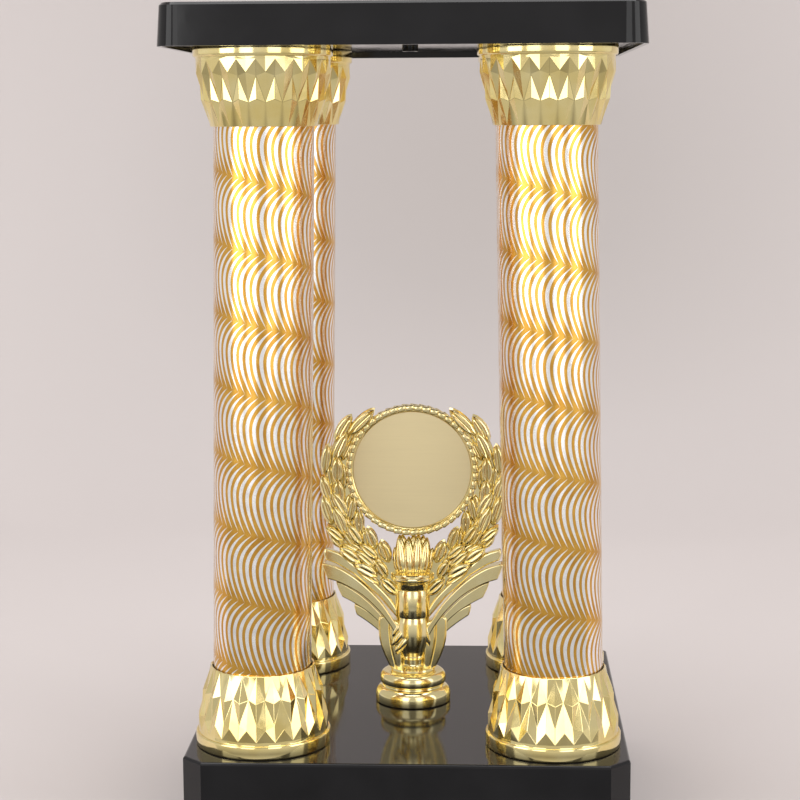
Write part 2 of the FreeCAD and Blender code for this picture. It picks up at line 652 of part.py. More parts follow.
# ------------------------------------------------------------------ wreath holder
def make_holder_foot():
    """Turned two-step foot, bored for the stud."""
    body = new_body("holder_foot")
    outline = new_sketch(body, "foot_outline", "XZ_Plane")
    corners = [
        ("holder_foot_bore_radius", None),
        ("holder_foot_radius", None),
        ("holder_foot_radius", "foot_lower_shoulder"),
        ("holder_foot_groove_radius", "holder_foot_step"),
        ("holder_foot_upper_radius", "foot_upper_shoulder"),
        ("holder_foot_upper_radius", "foot_top_shoulder"),
        ("holder_foot_groove_radius", "holder_foot_height"),
        ("holder_foot_bore_radius", "holder_foot_height"),
    ]
    draw_outline(outline, corners)
    turned = body.newObject("PartDesign::Revolution", "Revolution")
    turned.Profile = outline
    turned.ReferenceAxis = (outline, ["V_Axis"])
    turned.Angle = 360
    body.Placement = shifted(0, 0, HOLDER_LEVEL)


def make_holder_stud(washer, nut):
    """Stud moulded into the frame's root, and the washer and nut under the base's top wall."""
    stud = new_body("holder_stud")
    disc = new_sketch(stud, "stud_section")
    draw_circle(disc, "holder_stud_radius")
    pad(stud, disc, "Sizes.holder_stud_length")
    dress(stud, "Chamfer", "Sizes.holder_stud_radius / 5",
          lambda edge: edge_circle(edge, size("holder_stud_radius")) and level_with(0)(edge))
    washer_level = BASE_TOP - size("base_top_wall") - size("running_gap") - size("washer_thickness")
    nut_level = washer_level - size("nut_height")
    bottom = nut_level - size("rod_end_spare")
    stud.Placement = shifted(0, 0, bottom)
    repeat_at("holder_washer", washer, [shifted(0, 0, washer_level)])
    repeat_at("holder_nut", nut, [shifted(0, 0, nut_level)])


def plate_from(points, y_back, thickness):
    """A flat piece of the wreath: an outline in the upright plane, thickened towards the front.
    points alternates corners and, in tuples of two, arc middles with the corner that ends the arc."""
    edges = []
    here = points[0]
    for item in points[1:]:
        if isinstance(item, tuple):
            middle, end = item
            edges.append(Part.Arc(here, middle, end).toShape())
            here = end
        else:
            edges.append(Part.LineSegment(here, item).toShape())
            here = item
    face = Part.Face(Part.Wire(edges))
    solid = face.extrude(Vector(0, -thickness, 0))
    solid.translate(Vector(0, y_back, 0))
    return solid


def ring_point(centre_z, radius, degrees):
    """A point on a circle in the upright plane, 0 degrees straight up, positive to +X."""
    turn = math.radians(degrees)
    return Vector(radius * math.sin(turn), 0, centre_z + radius * math.cos(turn))


def upright_point(x, z):
    """A point in the holder's upright middle plane."""
    return Vector(x, 0, z)


def laurel_branch():
    """The right-hand laurel branch as one crescent, from its tip beside the bead ring down to the torch."""
    seat = size("seat_centre_height")
    reach = size("laurel_reach")
    against_seat = size("seat_radius") - size("laurel_overlap")
    widest = upright_point(reach, seat - 3)
    shoulder = ring_point(seat - 3, reach, 62)
    tip = ring_point(seat, size("laurel_tip_radius"), size("laurel_opening_angle") / 2)
    low_side = upright_point(reach * 0.8, size("laurel_low_level"))
    low_bend = upright_point(reach * 0.96, (seat + size("laurel_low_level")) / 2)
    root = upright_point(size("torch_body_radius") - size("laurel_overlap"), size("torch_grip_top"))
    flame_side = upright_point(size("flame_radius") - 2 * size("laurel_overlap"), size("laurel_flame_level"))
    outline = [
        tip,
        (shoulder, widest),
        (low_bend, low_side),
        root,
        flame_side,
        (ring_point(seat, 37, 158), ring_point(seat, against_seat, 128)),
        (ring_point(seat, against_seat, 80), ring_point(seat, against_seat, 30)),
        tip,
    ]
    thickness = size("laurel_thickness")
    return plate_from(outline, thickness / 2, thickness)


FEATHER_PLACES = ("reach", "upper_tip", "lower_tip", "upper_root", "lower_root")


def feather(reach, upper_tip, lower_tip, upper_root, lower_root):
    """One swept band of the right-hand wing, out of the torch and up to a squared tip."""
    root = size("torch_grip_radius") - size("wing_overlap")
    bend = (root + reach) / 2
    upper_bend = upright_point(bend, upper_root + (upper_tip - upper_root) * 0.7)
    lower_bend = upright_point(bend, lower_root + (lower_tip - lower_root) * 0.7)
    outline = [
        upright_point(root, lower_root),
        (lower_bend, upright_point(reach - size("wing_tip_slant"), lower_tip)),
        upright_point(reach, upper_tip),
        (upper_bend, upright_point(root, upper_root)),
        upright_point(root, lower_root),
    ]
    thickness = size("wing_thickness")
    return plate_from(outline, thickness / 2, thickness)


def drapery():
    """The folds that hang from the wings and gather into the holder's root."""
    half_top = size("drapery_half_width")
    top = size("drapery_top")
    half_root = half_top * 0.55
    root = size("holder_foot_height") + 1
    bend = upright_point(half_top * 0.92, (top + root) / 2)
    outline = [
        upright_point(-half_root, root),
        upright_point(half_root, root),
        (bend, upright_point(half_top, top)),
        upright_point(-half_top, top),
        (upright_point(-bend.x, bend.z), upright_point(-half_root, root)),
    ]
    thickness = size("drapery_thickness")
    return plate_from(outline, thickness / 2, thickness)


def torch_body():
    """Root flange, handle, closed hand, plain cylinder, cup and flame, as one turned shape."""
    root = size("holder_foot_height")
    grip_low = size("torch_grip_bottom")
    grip_high = size("torch_grip_top")
    neck = size("torch_neck_level")
    cup_top = size("torch_cup_top")
    flame = size("flame_radius")
    profile = [
        (0, root),
        (size("torch_root_radius"), root),
        (size("torch_root_radius"), root + 2),
        (size("torch_handle_radius"), root + 3),
        (size("torch_handle_radius"), grip_low),
        (size("torch_grip_radius"), grip_low + 4),
        (size("torch_grip_radius"), grip_high - 3),
        (size("torch_body_radius"), grip_high),
        (size("torch_body_radius"), neck),
        (size("torch_cup_radius"), cup_top - 2.4),
        (size("torch_cup_radius"), cup_top),
        (flame, cup_top + 0.6),
        (flame * 0.9, cup_top + 7),
        (flame * 0.3, size("flame_top")),
        (0, size("flame_top")),
        (0, root),
    ]
    outline = Part.makePolygon([Vector(radius, 0, z) for radius, z in profile])
    return Part.Face(outline).revolve(Vector(0, 0, 0), Vector(0, 0, 1), 360)


def make_holder_frame():
    """The plated moulding: round seat, bead ring, two laurel branches, torch and feathers."""
    centre = size("seat_centre_height")
    thickness = size("seat_thickness")
    front = -thickness / 2
    to_back = Vector(0, 1, 0)
    seat = Part.makeCylinder(size("seat_radius"), thickness, upright_point(0, centre) + to_back * front, to_back)
    rope_radius = size("rope_radius")
    rope_front = upright_point(0, centre) + to_back * (front - rope_radius)
    rope = Part.makeCylinder(size("rope_ring_radius") + rope_radius, 2 * rope_radius, rope_front, to_back)
    ahead = 5
    pocket = Part.makeCylinder(size("seat_pocket_radius"), ahead + size("seat_pocket_depth"),
                               upright_point(0, centre) + to_back * (front - ahead), to_back)
    feathers = [
        feather(*(size(f"{rank}_feather_{place}") for place in FEATHER_PLACES))
        for rank in ("top", "middle", "low")
    ]
    right_side = [laurel_branch()] + feathers
    left_side = [piece.mirror(Vector(0, 0, 0), Vector(1, 0, 0)) for piece in right_side]
    whole = seat.fuse(rope)
    for piece in [torch_body(), drapery()] + right_side + left_side:
        whole = whole.fuse(piece)
    whole = whole.cut(pocket)
    stud_hole = Part.makeCylinder(size("holder_stud_radius"), size("stud_hole_top"))
    whole = whole.cut(stud_hole)
    frame = doc.addObject("Part::Feature", "holder_frame")
    frame.Label = "holder_frame"
    frame.Shape = whole
    frame.Placement = shifted(0, 0, HOLDER_LEVEL)


def make_centre_disc():
    """The 50 mm disc that carries the award's picture, here left plain."""
    body = new_body("centre_disc")
    face = new_sketch(body, "disc_section")
    draw_circle(face, "disc_radius")
    pad(body, face, "Sizes.disc_thickness")
    dress(body, "Chamfer", "Sizes.disc_thickness / 4",
          lambda edge: edge_circle(edge, size("disc_radius")) and level_with(size("disc_thickness"))(edge))
    back_of_disc = -size("seat_thickness") / 2 + size("seat_pocket_depth")
    facing_front = FreeCAD.Rotation(Vector(1, 0, 0), 90)
    body.Placement = FreeCAD.Placement(Vector(0, back_of_disc, SEAT_HEIGHT), facing_front)


# ------------------------------------------------------------------ derived cells
def derive(alias, value, meaning):
    """Adds a cell worked out from the driving ones."""
    row = len(SIZES) + 1
    SIZES.append((alias, value, meaning))
    sheet.set(f"A{row}", meaning)
    sheet.set(f"B{row}", str(round(value, 6)))
    sheet.setAlias(f"B{row}", alias)


derive("cap_floor_base", size("cap_floor_level") - size("cap_floor_thickness"), "underside of a cap's socket floor")
derive("tube_bore_radius", size("tube_radius") - size("tube_wall"), "inside of a column tube")
derive("film_radius", size("tube_radius") + size("film_thickness"), "outside of the film")
derive("tray_inner_side", size("tray_rim_side") - 2 * size("tray_wall"), "tray opening at its rim")
derive("tray_inner_corner", size("tray_corner_radius") - size("tray_wall"), "corner of the tray opening")
derive("holder_foot_bore_radius", size("holder_stud_radius") + size("holder_stud_gap"),
       "stud hole through the foot")
derive("foot_lower_shoulder", size("holder_foot_step") * 0.62, "where the foot's lower step turns in")
derive("foot_upper_shoulder", size("holder_foot_step") * 1.22, "where the upper step begins")
derive("foot_top_shoulder", size("holder_foot_height") * 0.88, "where the upper step turns in")
derive("rod_length", FLOOR_TOP - WEIGHT_UNDERSIDE + 2 * ROD_REACH, "whole tie rod")
doc.recompute()

# ------------------------------------------------------------------ assembly
make_base_shell()
make_base_weight()
make_base_cover()
make_foot_pads()
make_cover_screws()
cap_pattern = make_cap_pattern()
make_caps(cap_pattern)
for corner_name in CORNERS:
    make_column(corner_name)
washer_pattern, nut_pattern = make_fastener_patterns()
make_rod_fasteners(washer_pattern, nut_pattern)
make_tray_shell()
make_tray_floor()
make_holder_foot()
make_holder_stud(washer_pattern, nut_pattern)
make_holder_frame()
make_centre_disc()
doc.recompute()

NODES = ["base_shell", "base_weight", "base_cover", "foot_pads", "cover_screws"]
for corner_name in CORNERS:
    for piece in ("lower_cap", "upper_cap", "column_tube", "column_film", "tie_rod"):
        NODES.append(f"{piece}_{corner_name}")
NODES += ["base_washers", "base_nuts", "tray_washers", "tray_nuts", "tray_shell", "tray_floor"]
NODES += ["holder_foot", "holder_stud", "holder_washer", "holder_nut", "holder_frame", "centre_disc"]

for item in doc.Objects:
    if "Invalid" in item.State or "Error" in item.State:
        raise ValueError(f"{item.Label} failed: {item.State}")
os.makedirs("parts", exist_ok=True)
for node in NODES:
    shape = doc.getObjectsByLabel(node)[0].Shape
    if shape.isNull() or not shape.isValid() or not shape.Solids:
        raise ValueError(f"{node} has no valid solid")
    shape.exportStep(f"parts/{node}.step")
    print(f"{node:28s} {len(shape.Solids)} solid(s) {shape.Volume / 1000:9.2f} cm3")
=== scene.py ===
import random
from math import atan2, cos, pi, radians, sin, sqrt

import bpy
from mathutils import Matrix, Vector


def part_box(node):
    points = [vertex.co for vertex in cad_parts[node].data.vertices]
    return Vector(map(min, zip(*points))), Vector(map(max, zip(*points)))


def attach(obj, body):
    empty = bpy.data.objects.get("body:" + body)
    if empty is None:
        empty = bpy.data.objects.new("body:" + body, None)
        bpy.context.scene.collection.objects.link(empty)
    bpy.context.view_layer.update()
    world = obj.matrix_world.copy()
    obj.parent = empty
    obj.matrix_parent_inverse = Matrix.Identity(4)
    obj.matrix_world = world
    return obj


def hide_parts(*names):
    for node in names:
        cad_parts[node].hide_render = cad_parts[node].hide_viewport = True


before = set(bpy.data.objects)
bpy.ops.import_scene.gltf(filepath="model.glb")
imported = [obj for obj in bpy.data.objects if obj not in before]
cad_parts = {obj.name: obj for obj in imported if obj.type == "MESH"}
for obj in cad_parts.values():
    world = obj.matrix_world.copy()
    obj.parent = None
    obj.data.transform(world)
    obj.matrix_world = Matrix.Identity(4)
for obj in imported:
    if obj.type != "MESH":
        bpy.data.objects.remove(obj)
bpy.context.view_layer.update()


# BASE BOX. A downturned box with cut corners, moulded in black styrene and polished bright on the
# outside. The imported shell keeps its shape, and gets the gloss of the moulding with its faint
# ripple and wiping marks.
MM = 0.001
bpy.ops.object.select_all(action="DESELECT")


def new_finish(name, colour, metallic, roughness):
    """A material of one surface, with the node that gives a piece's own coordinates."""
    finish = bpy.data.materials.new(name)
    finish.use_nodes = True
    surface = finish.node_tree.nodes["Principled BSDF"]
    surface.inputs["Base Color"].default_value = (*colour, 1)
    surface.inputs["Metallic"].default_value = metallic
    surface.inputs["Roughness"].default_value = roughness
    place = finish.node_tree.nodes.new("ShaderNodeTexCoord")
    return finish, surface, place


def join(finish, start, start_socket, end, end_socket):
    """Links two nodes of a material."""
    finish.node_tree.links.new(start.outputs[start_socket], end.inputs[end_socket])


def speckle(finish, place, size_mm, detail=3.0, stretch=(1, 1, 1)):
    """Cloudy noise whose blobs are about size_mm across."""
    turn = finish.node_tree.nodes.new("ShaderNodeMapping")
    turn.inputs["Scale"].default_value = stretch
    noise = finish.node_tree.nodes.new("ShaderNodeTexNoise")
    noise.inputs["Scale"].default_value = 1000 / size_mm
    noise.inputs["Detail"].default_value = detail
    join(finish, place, "Object", turn, "Vector")
    join(finish, turn, "Vector", noise, "Vector")
    return noise


def ramp(finish, pattern, socket, stops):
    """Turns a pattern into colours; stops are (position, colour) pairs."""
    band = finish.node_tree.nodes.new("ShaderNodeValToRGB")
    while len(band.color_ramp.elements) < len(stops):
        band.color_ramp.elements.new(0.5)
    for element, (position, colour) in zip(band.color_ramp.elements, stops):
        element.position = position
        element.color = (*colour, 1)
    join(finish, pattern, socket, band, "Fac")
    return band


def tint(finish, surface, pattern, stops, socket="Fac"):
    """Colours a surface by a pattern."""
    join(finish, ramp(finish, pattern, socket, stops), "Color", surface, "Base Color")


def gloss(finish, surface, noise, low, high):
    """Lets cloudy noise take a surface's roughness from low to high."""
    span = finish.node_tree.nodes.new("ShaderNodeMapRange")
    span.inputs["From Min"].default_value = 0.3
    span.inputs["From Max"].default_value = 0.7
    span.inputs["To Min"].default_value = low
    span.inputs["To Max"].default_value = high
    join(finish, noise, "Fac", span, "Value")
    join(finish, span, "Result", surface, "Roughness")


def ripple(finish, surface, pattern, strength, depth_mm, socket="Fac"):
    """Bumps a surface with a pattern."""
    bump = finish.node_tree.nodes.new("ShaderNodeBump")
    bump.inputs["Strength"].default_value = strength
    bump.inputs["Distance"].default_value = depth_mm * MM
    join(finish, pattern, socket, bump, "Height")
    join(finish, bump, "Normal", surface, "Normal")


def coat_node(finish, *nodes):
    """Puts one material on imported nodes."""
    for node in nodes:
        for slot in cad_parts[node].material_slots:
            slot.material = finish


gloss_black, surface, place = new_finish(
    "polished_black_styrene", (0.0085, 0.0082, 0.009), 0.0, 0.1)
surface.inputs["Specular IOR Level"].default_value = 0.31
surface.inputs["IOR"].default_value = 1.48
clouds = speckle(gloss_black, place, 22.0, 2.0)
tint(gloss_black, surface, clouds,
     [(0.3, (0.0085, 0.0082, 0.009)), (0.75, (0.01275, 0.0123, 0.0135))])
wiping = speckle(gloss_black, place, 14.0, 4.0, (1, 0.25, 1))
gloss(gloss_black, surface, wiping, 0.05, 0.12)
skin = speckle(gloss_black, place, 3.5, 1.0)
ripple(gloss_black, surface, skin, 0.12, 0.02)
coat_node(gloss_black, "base_shell")


# INSIDE AND UNDER THE BASE. A rolled steel plate gives the base its weight. A grained black cover
# closes it with four self-tapping screws, and four turned rubber pads keep it off the table. All
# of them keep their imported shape.
steel_plate, surface, place = new_finish("hot_rolled_plate", (0.16, 0.15, 0.15), 0.9, 0.55)
scale_marks = speckle(steel_plate, place, 9.0, 6.0)
tint(steel_plate, surface, scale_marks,
     [(0.3, (0.07, 0.068, 0.075)), (0.55, (0.17, 0.16, 0.155)), (0.75, (0.24, 0.15, 0.09))])
gloss(steel_plate, surface, scale_marks, 0.38, 0.72)
ripple(steel_plate, surface, scale_marks, 0.5, 0.08)
coat_node(steel_plate, "base_weight")

cover_board, surface, place = new_finish("grained_black_cover", (0.02, 0.02, 0.021), 0.0, 0.6)
grain = speckle(cover_board, place, 0.8, 5.0)
tint(cover_board, surface, grain,
     [(0.35, (0.013, 0.013, 0.014)), (0.7, (0.034, 0.033, 0.034))])
gloss(cover_board, surface, grain, 0.5, 0.78)
ripple(cover_board, surface, grain, 0.55, 0.06)
coat_node(cover_board, "base_cover")

pad_rubber, surface, place = new_finish("pad_rubber", (0.03, 0.029, 0.028), 0.0, 0.8)
bloom = speckle(pad_rubber, place, 2.4, 5.0)
tint(pad_rubber, surface, bloom, [(0.3, (0.02, 0.02, 0.02)), (0.75, (0.062, 0.06, 0.057))])
gloss(pad_rubber, surface, bloom, 0.65, 0.9)
ripple(pad_rubber, surface, bloom, 0.5, 0.05)
coat_node(pad_rubber, "foot_pads")

zinc_plate, surface, place = new_finish("zinc_plated_steel", (0.58, 0.59, 0.6), 1.0, 0.3)
spangle = zinc_plate.node_tree.nodes.new("ShaderNodeTexVoronoi")
spangle.inputs["Scale"].default_value = 900
join(zinc_plate, place, "Object", spangle, "Vector")
tint(zinc_plate, surface, spangle,
     [(0.1, (0.62, 0.62, 0.6)), (0.6, (0.5, 0.52, 0.54)), (0.95, (0.57, 0.53, 0.42))], "Distance")
tool_marks = speckle(zinc_plate, place, 1.2, 4.0, (1, 1, 6))
gloss(zinc_plate, surface, tool_marks, 0.2, 0.42)
ripple(zinc_plate, surface, tool_marks, 0.25, 0.02)
coat_node(zinc_plate, "cover_screws")


# COLUMN CAPS. Each column stands in a cap and carries another upside down: a plain ring, then a
# bowl cut into a lattice of raised kites like a gem. They are moulded in styrene, plated under
# vacuum and lacquered gold, so they shine like metal and every crease draws a bright line.
def plated_gold(name, pale, deep, low_gloss, high_gloss):
    """Gold lacquer over bright plating: a cloudy tint, a faint haze and the skin's ripple."""
    finish, surface, place = new_finish(name, pale, 1.0, 0.14)
    lacquer = speckle(finish, place, 16.0, 3.0)
    tint(finish, surface, lacquer, [(0.32, deep), (0.68, pale)])
    haze = speckle(finish, place, 5.0, 5.0)
    gloss(finish, surface, haze, low_gloss, high_gloss)
    skin = speckle(finish, place, 1.6, 2.0)
    ripple(finish, surface, skin, 0.1, 0.03)
    return finish


def leave_edit():
    bpy.ops.object.mode_set(mode="OBJECT")


def only(piece):
    """Selects one piece alone."""
    if bpy.context.object and bpy.context.object.mode != "OBJECT":
        leave_edit()
    bpy.ops.object.select_all(action="DESELECT")
    piece.select_set(True)
    bpy.context.view_layer.objects.active = piece


def pick_points(piece, wanted):
    """In edit mode, selects the points for which wanted(place) is true."""
    leave_edit()
    for polygon in piece.data.polygons:
        polygon.select = False
    for edge in piece.data.edges:
        edge.select = False
    for point in piece.data.vertices:
        point.select = wanted(point.co)
    bpy.ops.object.mode_set(mode="EDIT")
    bpy.ops.mesh.select_mode(type="VERT")


def pick_faces(piece, wanted):
    """In edit mode, selects the faces for which wanted(centre, normal) is true."""
    leave_edit()
    for point in piece.data.vertices:
        point.select = False
    for edge in piece.data.edges:
        edge.select = False
    for polygon in piece.data.polygons:
        polygon.select = wanted(polygon.center, polygon.normal)
    bpy.ops.object.mode_set(mode="EDIT")
    bpy.ops.mesh.select_mode(type="FACE")


def turned(name, profile, points_round):
    """Raises a ring of points along a profile of (radius, height) pairs in mm, as on a lathe.
    A profile that ends where it began is closed into one skin; another is closed at its ends."""
    first_radius, first_height = profile[0]
    bpy.ops.object.select_all(action="DESELECT")
    bpy.ops.mesh.primitive_circle_add(vertices=points_round, radius=first_radius * MM,
                                      location=(0, 0, first_height * MM))
    piece = bpy.context.object
    piece.name = name
    bpy.ops.object.transform_apply()
    bpy.ops.object.mode_set(mode="EDIT")
    bpy.ops.mesh.select_mode(type="VERT")
    bpy.ops.mesh.select_all(action="SELECT")
    if profile[0] != profile[-1]:
        bpy.ops.mesh.edge_face_add()
    for (radius, height), (next_radius, next_height) in zip(profile, profile[1:]):
        bpy.ops.mesh.extrude_region_move(
            TRANSFORM_OT_translate={"value": (0, 0, (next_height - height) * MM)})
        grow = next_radius / radius
        bpy.ops.transform.resize(value=(grow, grow, 1), center_override=(0, 0, next_height * MM))
    bpy.ops.mesh.select_all(action="SELECT")
    bpy.ops.mesh.remove_doubles(threshold=1e-6)
    bpy.ops.mesh.normals_make_consistent(inside=False)
    leave_edit()
    return piece


def dress_edges(piece, width_mm, from_angle, segments=1):
    """Takes the edge off every corner sharper than an angle with a narrow bevel."""
    only(piece)
    bevel = piece.modifiers.new("edge", "BEVEL")
    bevel.width = width_mm * MM
    bevel.segments = segments
    bevel.limit_method = "ANGLE"
    bevel.angle_limit = radians(from_angle)
    bpy.ops.object.modifier_apply(modifier="edge")


def set_down(pattern, name, matrix):
    """Copies a pattern to its place, with its own mesh and with the place in the mesh."""
    copy = pattern.copy()
    copy.data = pattern.data.copy()
    copy.name = name
    bpy.context.collection.objects.link(copy)
    copy.matrix_world = matrix
    only(copy)
    bpy.ops.object.transform_apply(location=True, rotation=True, scale=True)
    return copy


def scrap(pattern):
    """Clears away a pattern once its copies are set down."""
    bpy.data.objects.remove(pattern, do_unlink=True)


def paint(piece, finish, body):
    """Gives a piece its finish, in a slot of its own, and the body that it rides on."""
    piece.data.materials.clear()
    piece.data.materials.append(finish)
    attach(piece, body)


cap_gold = plated_gold("gold_lacquered_cap", (0.95, 0.82, 0.43), (0.87, 0.69, 0.26), 0.06, 0.15)

# Three rings of points carry the lattice, at these heights over the cap's ring. Every other point
# of a ring is pulled out, and those of the first two are drawn down a little, to make the kites.
kites_round = 22
belly, waist, mouth = 13.1, 23.0, 32.0
bowl_radius = {belly: 24.5, waist: 22.6, mouth: 20.4}
kite_rise, mouth_rise = 1.5, 0.45
peak_drop = 1.2
bowl_start = 5.9
outer_points, outer_facets = 20.25, 21.5
large_facet = 2e-6
cap_profile = [
    (26.2, 0.0), (26.8, 0.2), (27.0, 0.8), (27.0, 4.7), (26.9, 5.3), (26.6, 5.65), (26.3, 5.6),
    (26.15, 5.45), (26.05, bowl_start), (25.96, 7.0), (bowl_radius[belly], belly),
    (bowl_radius[waist], waist), (bowl_radius[mouth], mouth), (20.1, mouth), (20.0, 31.7),
    (20.0, 6.8), (4.0, 6.8), (3.6, 6.4), (3.6, 5.0), (21.6, 5.0), (21.6, 14.0), (24.2, 14.0),
    (24.4, 0.0), (26.2, 0.0),
]
cap = turned("cap_pattern", cap_profile, 2 * kites_round)


def count_round(place):
    """Which point of its ring a place is, counted from the front right."""
    return round(atan2(place.y, place.x) / (pi / kites_round))


for height, first in ((belly, 0), (waist, 1), (mouth, 0)):
    pick_points(cap, lambda place: abs(place.z - height * MM) < 1e-5
                and count_round(place) % 2 == first and place.xy.length > outer_points * MM)
    rise = mouth_rise if height == mouth else kite_rise
    grow = (bowl_radius[height] + rise) / bowl_radius[height]
    bpy.ops.transform.resize(value=(grow, grow, 1), center_override=(0, 0, height * MM))
    if height != mouth:
        bpy.ops.transform.translate(value=(0, 0, -peak_drop * MM))
pick_faces(cap, lambda centre, normal: centre.z > bowl_start * MM
           and centre.xy.length > outer_facets * MM
           and normal.xy.dot(centre.xy) > 0 and abs(normal.z) < 0.8)
bpy.ops.mesh.quads_convert_to_tris(quad_method="SHORTEST_DIAGONAL", ngon_method="BEAUTY")
leave_edit()
dress_edges(cap, 0.16, 13)
bpy.ops.object.shade_smooth_by_angle(angle=radians(25))
for polygon in cap.data.polygons:
    on_bowl = bowl_start * MM < polygon.center.z < mouth * MM
    if (on_bowl and polygon.center.xy.length > outer_facets * MM
            and polygon.area > large_facet):
        polygon.use_smooth = False

corner_sides = {"front_left": (-1, -1), "front_right": (1, -1),
                "back_left": (-1, 1), "back_right": (1, 1)}
base_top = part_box("base_shell")[1].z
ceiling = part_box("upper_cap_front_left")[1].z
for corner in corner_sides:
    for row, level, turn in (("lower", base_top, 0), ("upper", ceiling, pi)):
        low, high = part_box(f"{row}_cap_{corner}")
        middle = (low + high) / 2
        stand = Matrix.Translation((middle.x, middle.y, level)) @ Matrix.Rotation(turn, 4, "X")
        faceted = set_down(cap, f"{row}_faceted_cap_{corner}", stand)
        paint(faceted, cap_gold, "tier")
        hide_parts(f"{row}_cap_{corner}")
scrap(cap)


# COLUMNS AND THEIR FILM. A plain extruded tube carries each column, clamped by a zinc-plated rod.
# Round it lies a clear film printed in transparent amber over silver foil: sickles of bare foil
# follow a single helix, and a plain amber line parts one turn from the next.
tube_plastic, surface, place = new_finish("extruded_tube", (0.7, 0.7, 0.68), 0.0, 0.35)
drawing_lines = speckle(tube_plastic, place, 2.0, 3.0, (1, 1, 0.04))
tint(tube_plastic, surface, drawing_lines, [(0.3, (0.6, 0.6, 0.57)), (0.7, (0.74, 0.74, 0.72))])
gloss(tube_plastic, surface, drawing_lines, 0.25, 0.45)
ripple(tube_plastic, surface, drawing_lines, 0.3, 0.03)

# The print: one turn of the helix is film_turn high, and 45 sickles go round it, one pitch apart.
# Where the sickles bulge and are fullest is told as a share of the turn, down from its upper line.
film_turn = 27.25
sickles_round, sickle_pitch = 45, 2.73
upper_bow_mm, lower_bow_mm = 7.0, 4.7
bulge, fullest = 0.48, 0.485
widest_half = 0.265
edge_sharpness = 22.0

film, surface, place = new_finish("printed_foil_film", (0.8, 0.6, 0.25), 0.9, 0.2)
spot = film.node_tree.nodes.new("ShaderNodeSeparateXYZ")
join(film, place, "UV", spot, "Vector")


def reckon(operation, first, second=None, clamp=False):
    """One step of arithmetic on the film; an input is a number or a (node, socket) pair."""
    step = film.node_tree.nodes.new("ShaderNodeMath")
    step.operation = operation
    step.use_clamp = clamp
    for socket, value in zip(step.inputs, (first, second)):
        if isinstance(value, tuple):
            film.node_tree.links.new(value[0].outputs[value[1]], socket)
        elif value is not None:
            socket.default_value = value
    return step, "Value"


# how far down one turn of the helix a point lies, 0 to 1
down = reckon("FRACT", (spot, "Y"))
# how far its sickle has bowed sideways there, counted in sickles
above = reckon("SUBTRACT", 1.0, reckon("DIVIDE", down, bulge), True)
below = reckon("DIVIDE", reckon("SUBTRACT", down, bulge), 1 - bulge, True)
upper_bow = reckon("MULTIPLY", reckon("POWER", above, 2.0), upper_bow_mm / sickle_pitch)
lower_bow = reckon("MULTIPLY", reckon("POWER", below, 1.9), lower_bow_mm / sickle_pitch)
bow = reckon("ADD", upper_bow, lower_bow)
along = reckon("SUBTRACT", reckon("MULTIPLY", (spot, "X"), float(sickles_round)), bow)
off_middle = reckon("ABSOLUTE", reckon("SUBTRACT", reckon("FRACT", along), 0.5))
# half the width of the sickle, which tapers to a point at both lines
from_fullest = reckon("ABSOLUTE", reckon("SUBTRACT", down, fullest))
taper = reckon("POWER", reckon("DIVIDE", from_fullest, 0.5), 2.8)
half_width = reckon("MULTIPLY", reckon("SUBTRACT", 1.0, taper, True), widest_half)
inside = reckon("SUBTRACT", half_width, off_middle)
foil_share = reckon("ADD", reckon("MULTIPLY", inside, edge_sharpness), 0.5, True)

amber_clouds = speckle(film, place, 7.0, 3.0)
amber = ramp(film, amber_clouds, "Fac", [(0.3, (0.60, 0.30, 0.035)), (0.7, (0.76, 0.43, 0.073))])
foil_clouds = speckle(film, place, 4.0, 3.0)
foil = ramp(film, foil_clouds, "Fac", [(0.3, (0.93, 0.91, 0.93)), (0.7, (0.99, 0.985, 0.99))])
printed = film.node_tree.nodes.new("ShaderNodeMix")
printed.data_type = "RGBA"
join(film, *foil_share, printed, "Factor")
join(film, amber, "Color", printed, "A")
join(film, foil, "Color", printed, "B")
join(film, printed, "Result", surface, "Base Color")
film_haze = speckle(film, place, 3.0, 4.0)
gloss(film, surface, film_haze, 0.17, 0.25)
ripple(film, surface, foil_share[0], 0.15, 0.02, foil_share[1])
surface.inputs["Coat Weight"].default_value = 0.25
surface.inputs["Coat Roughness"].default_value = 0.1

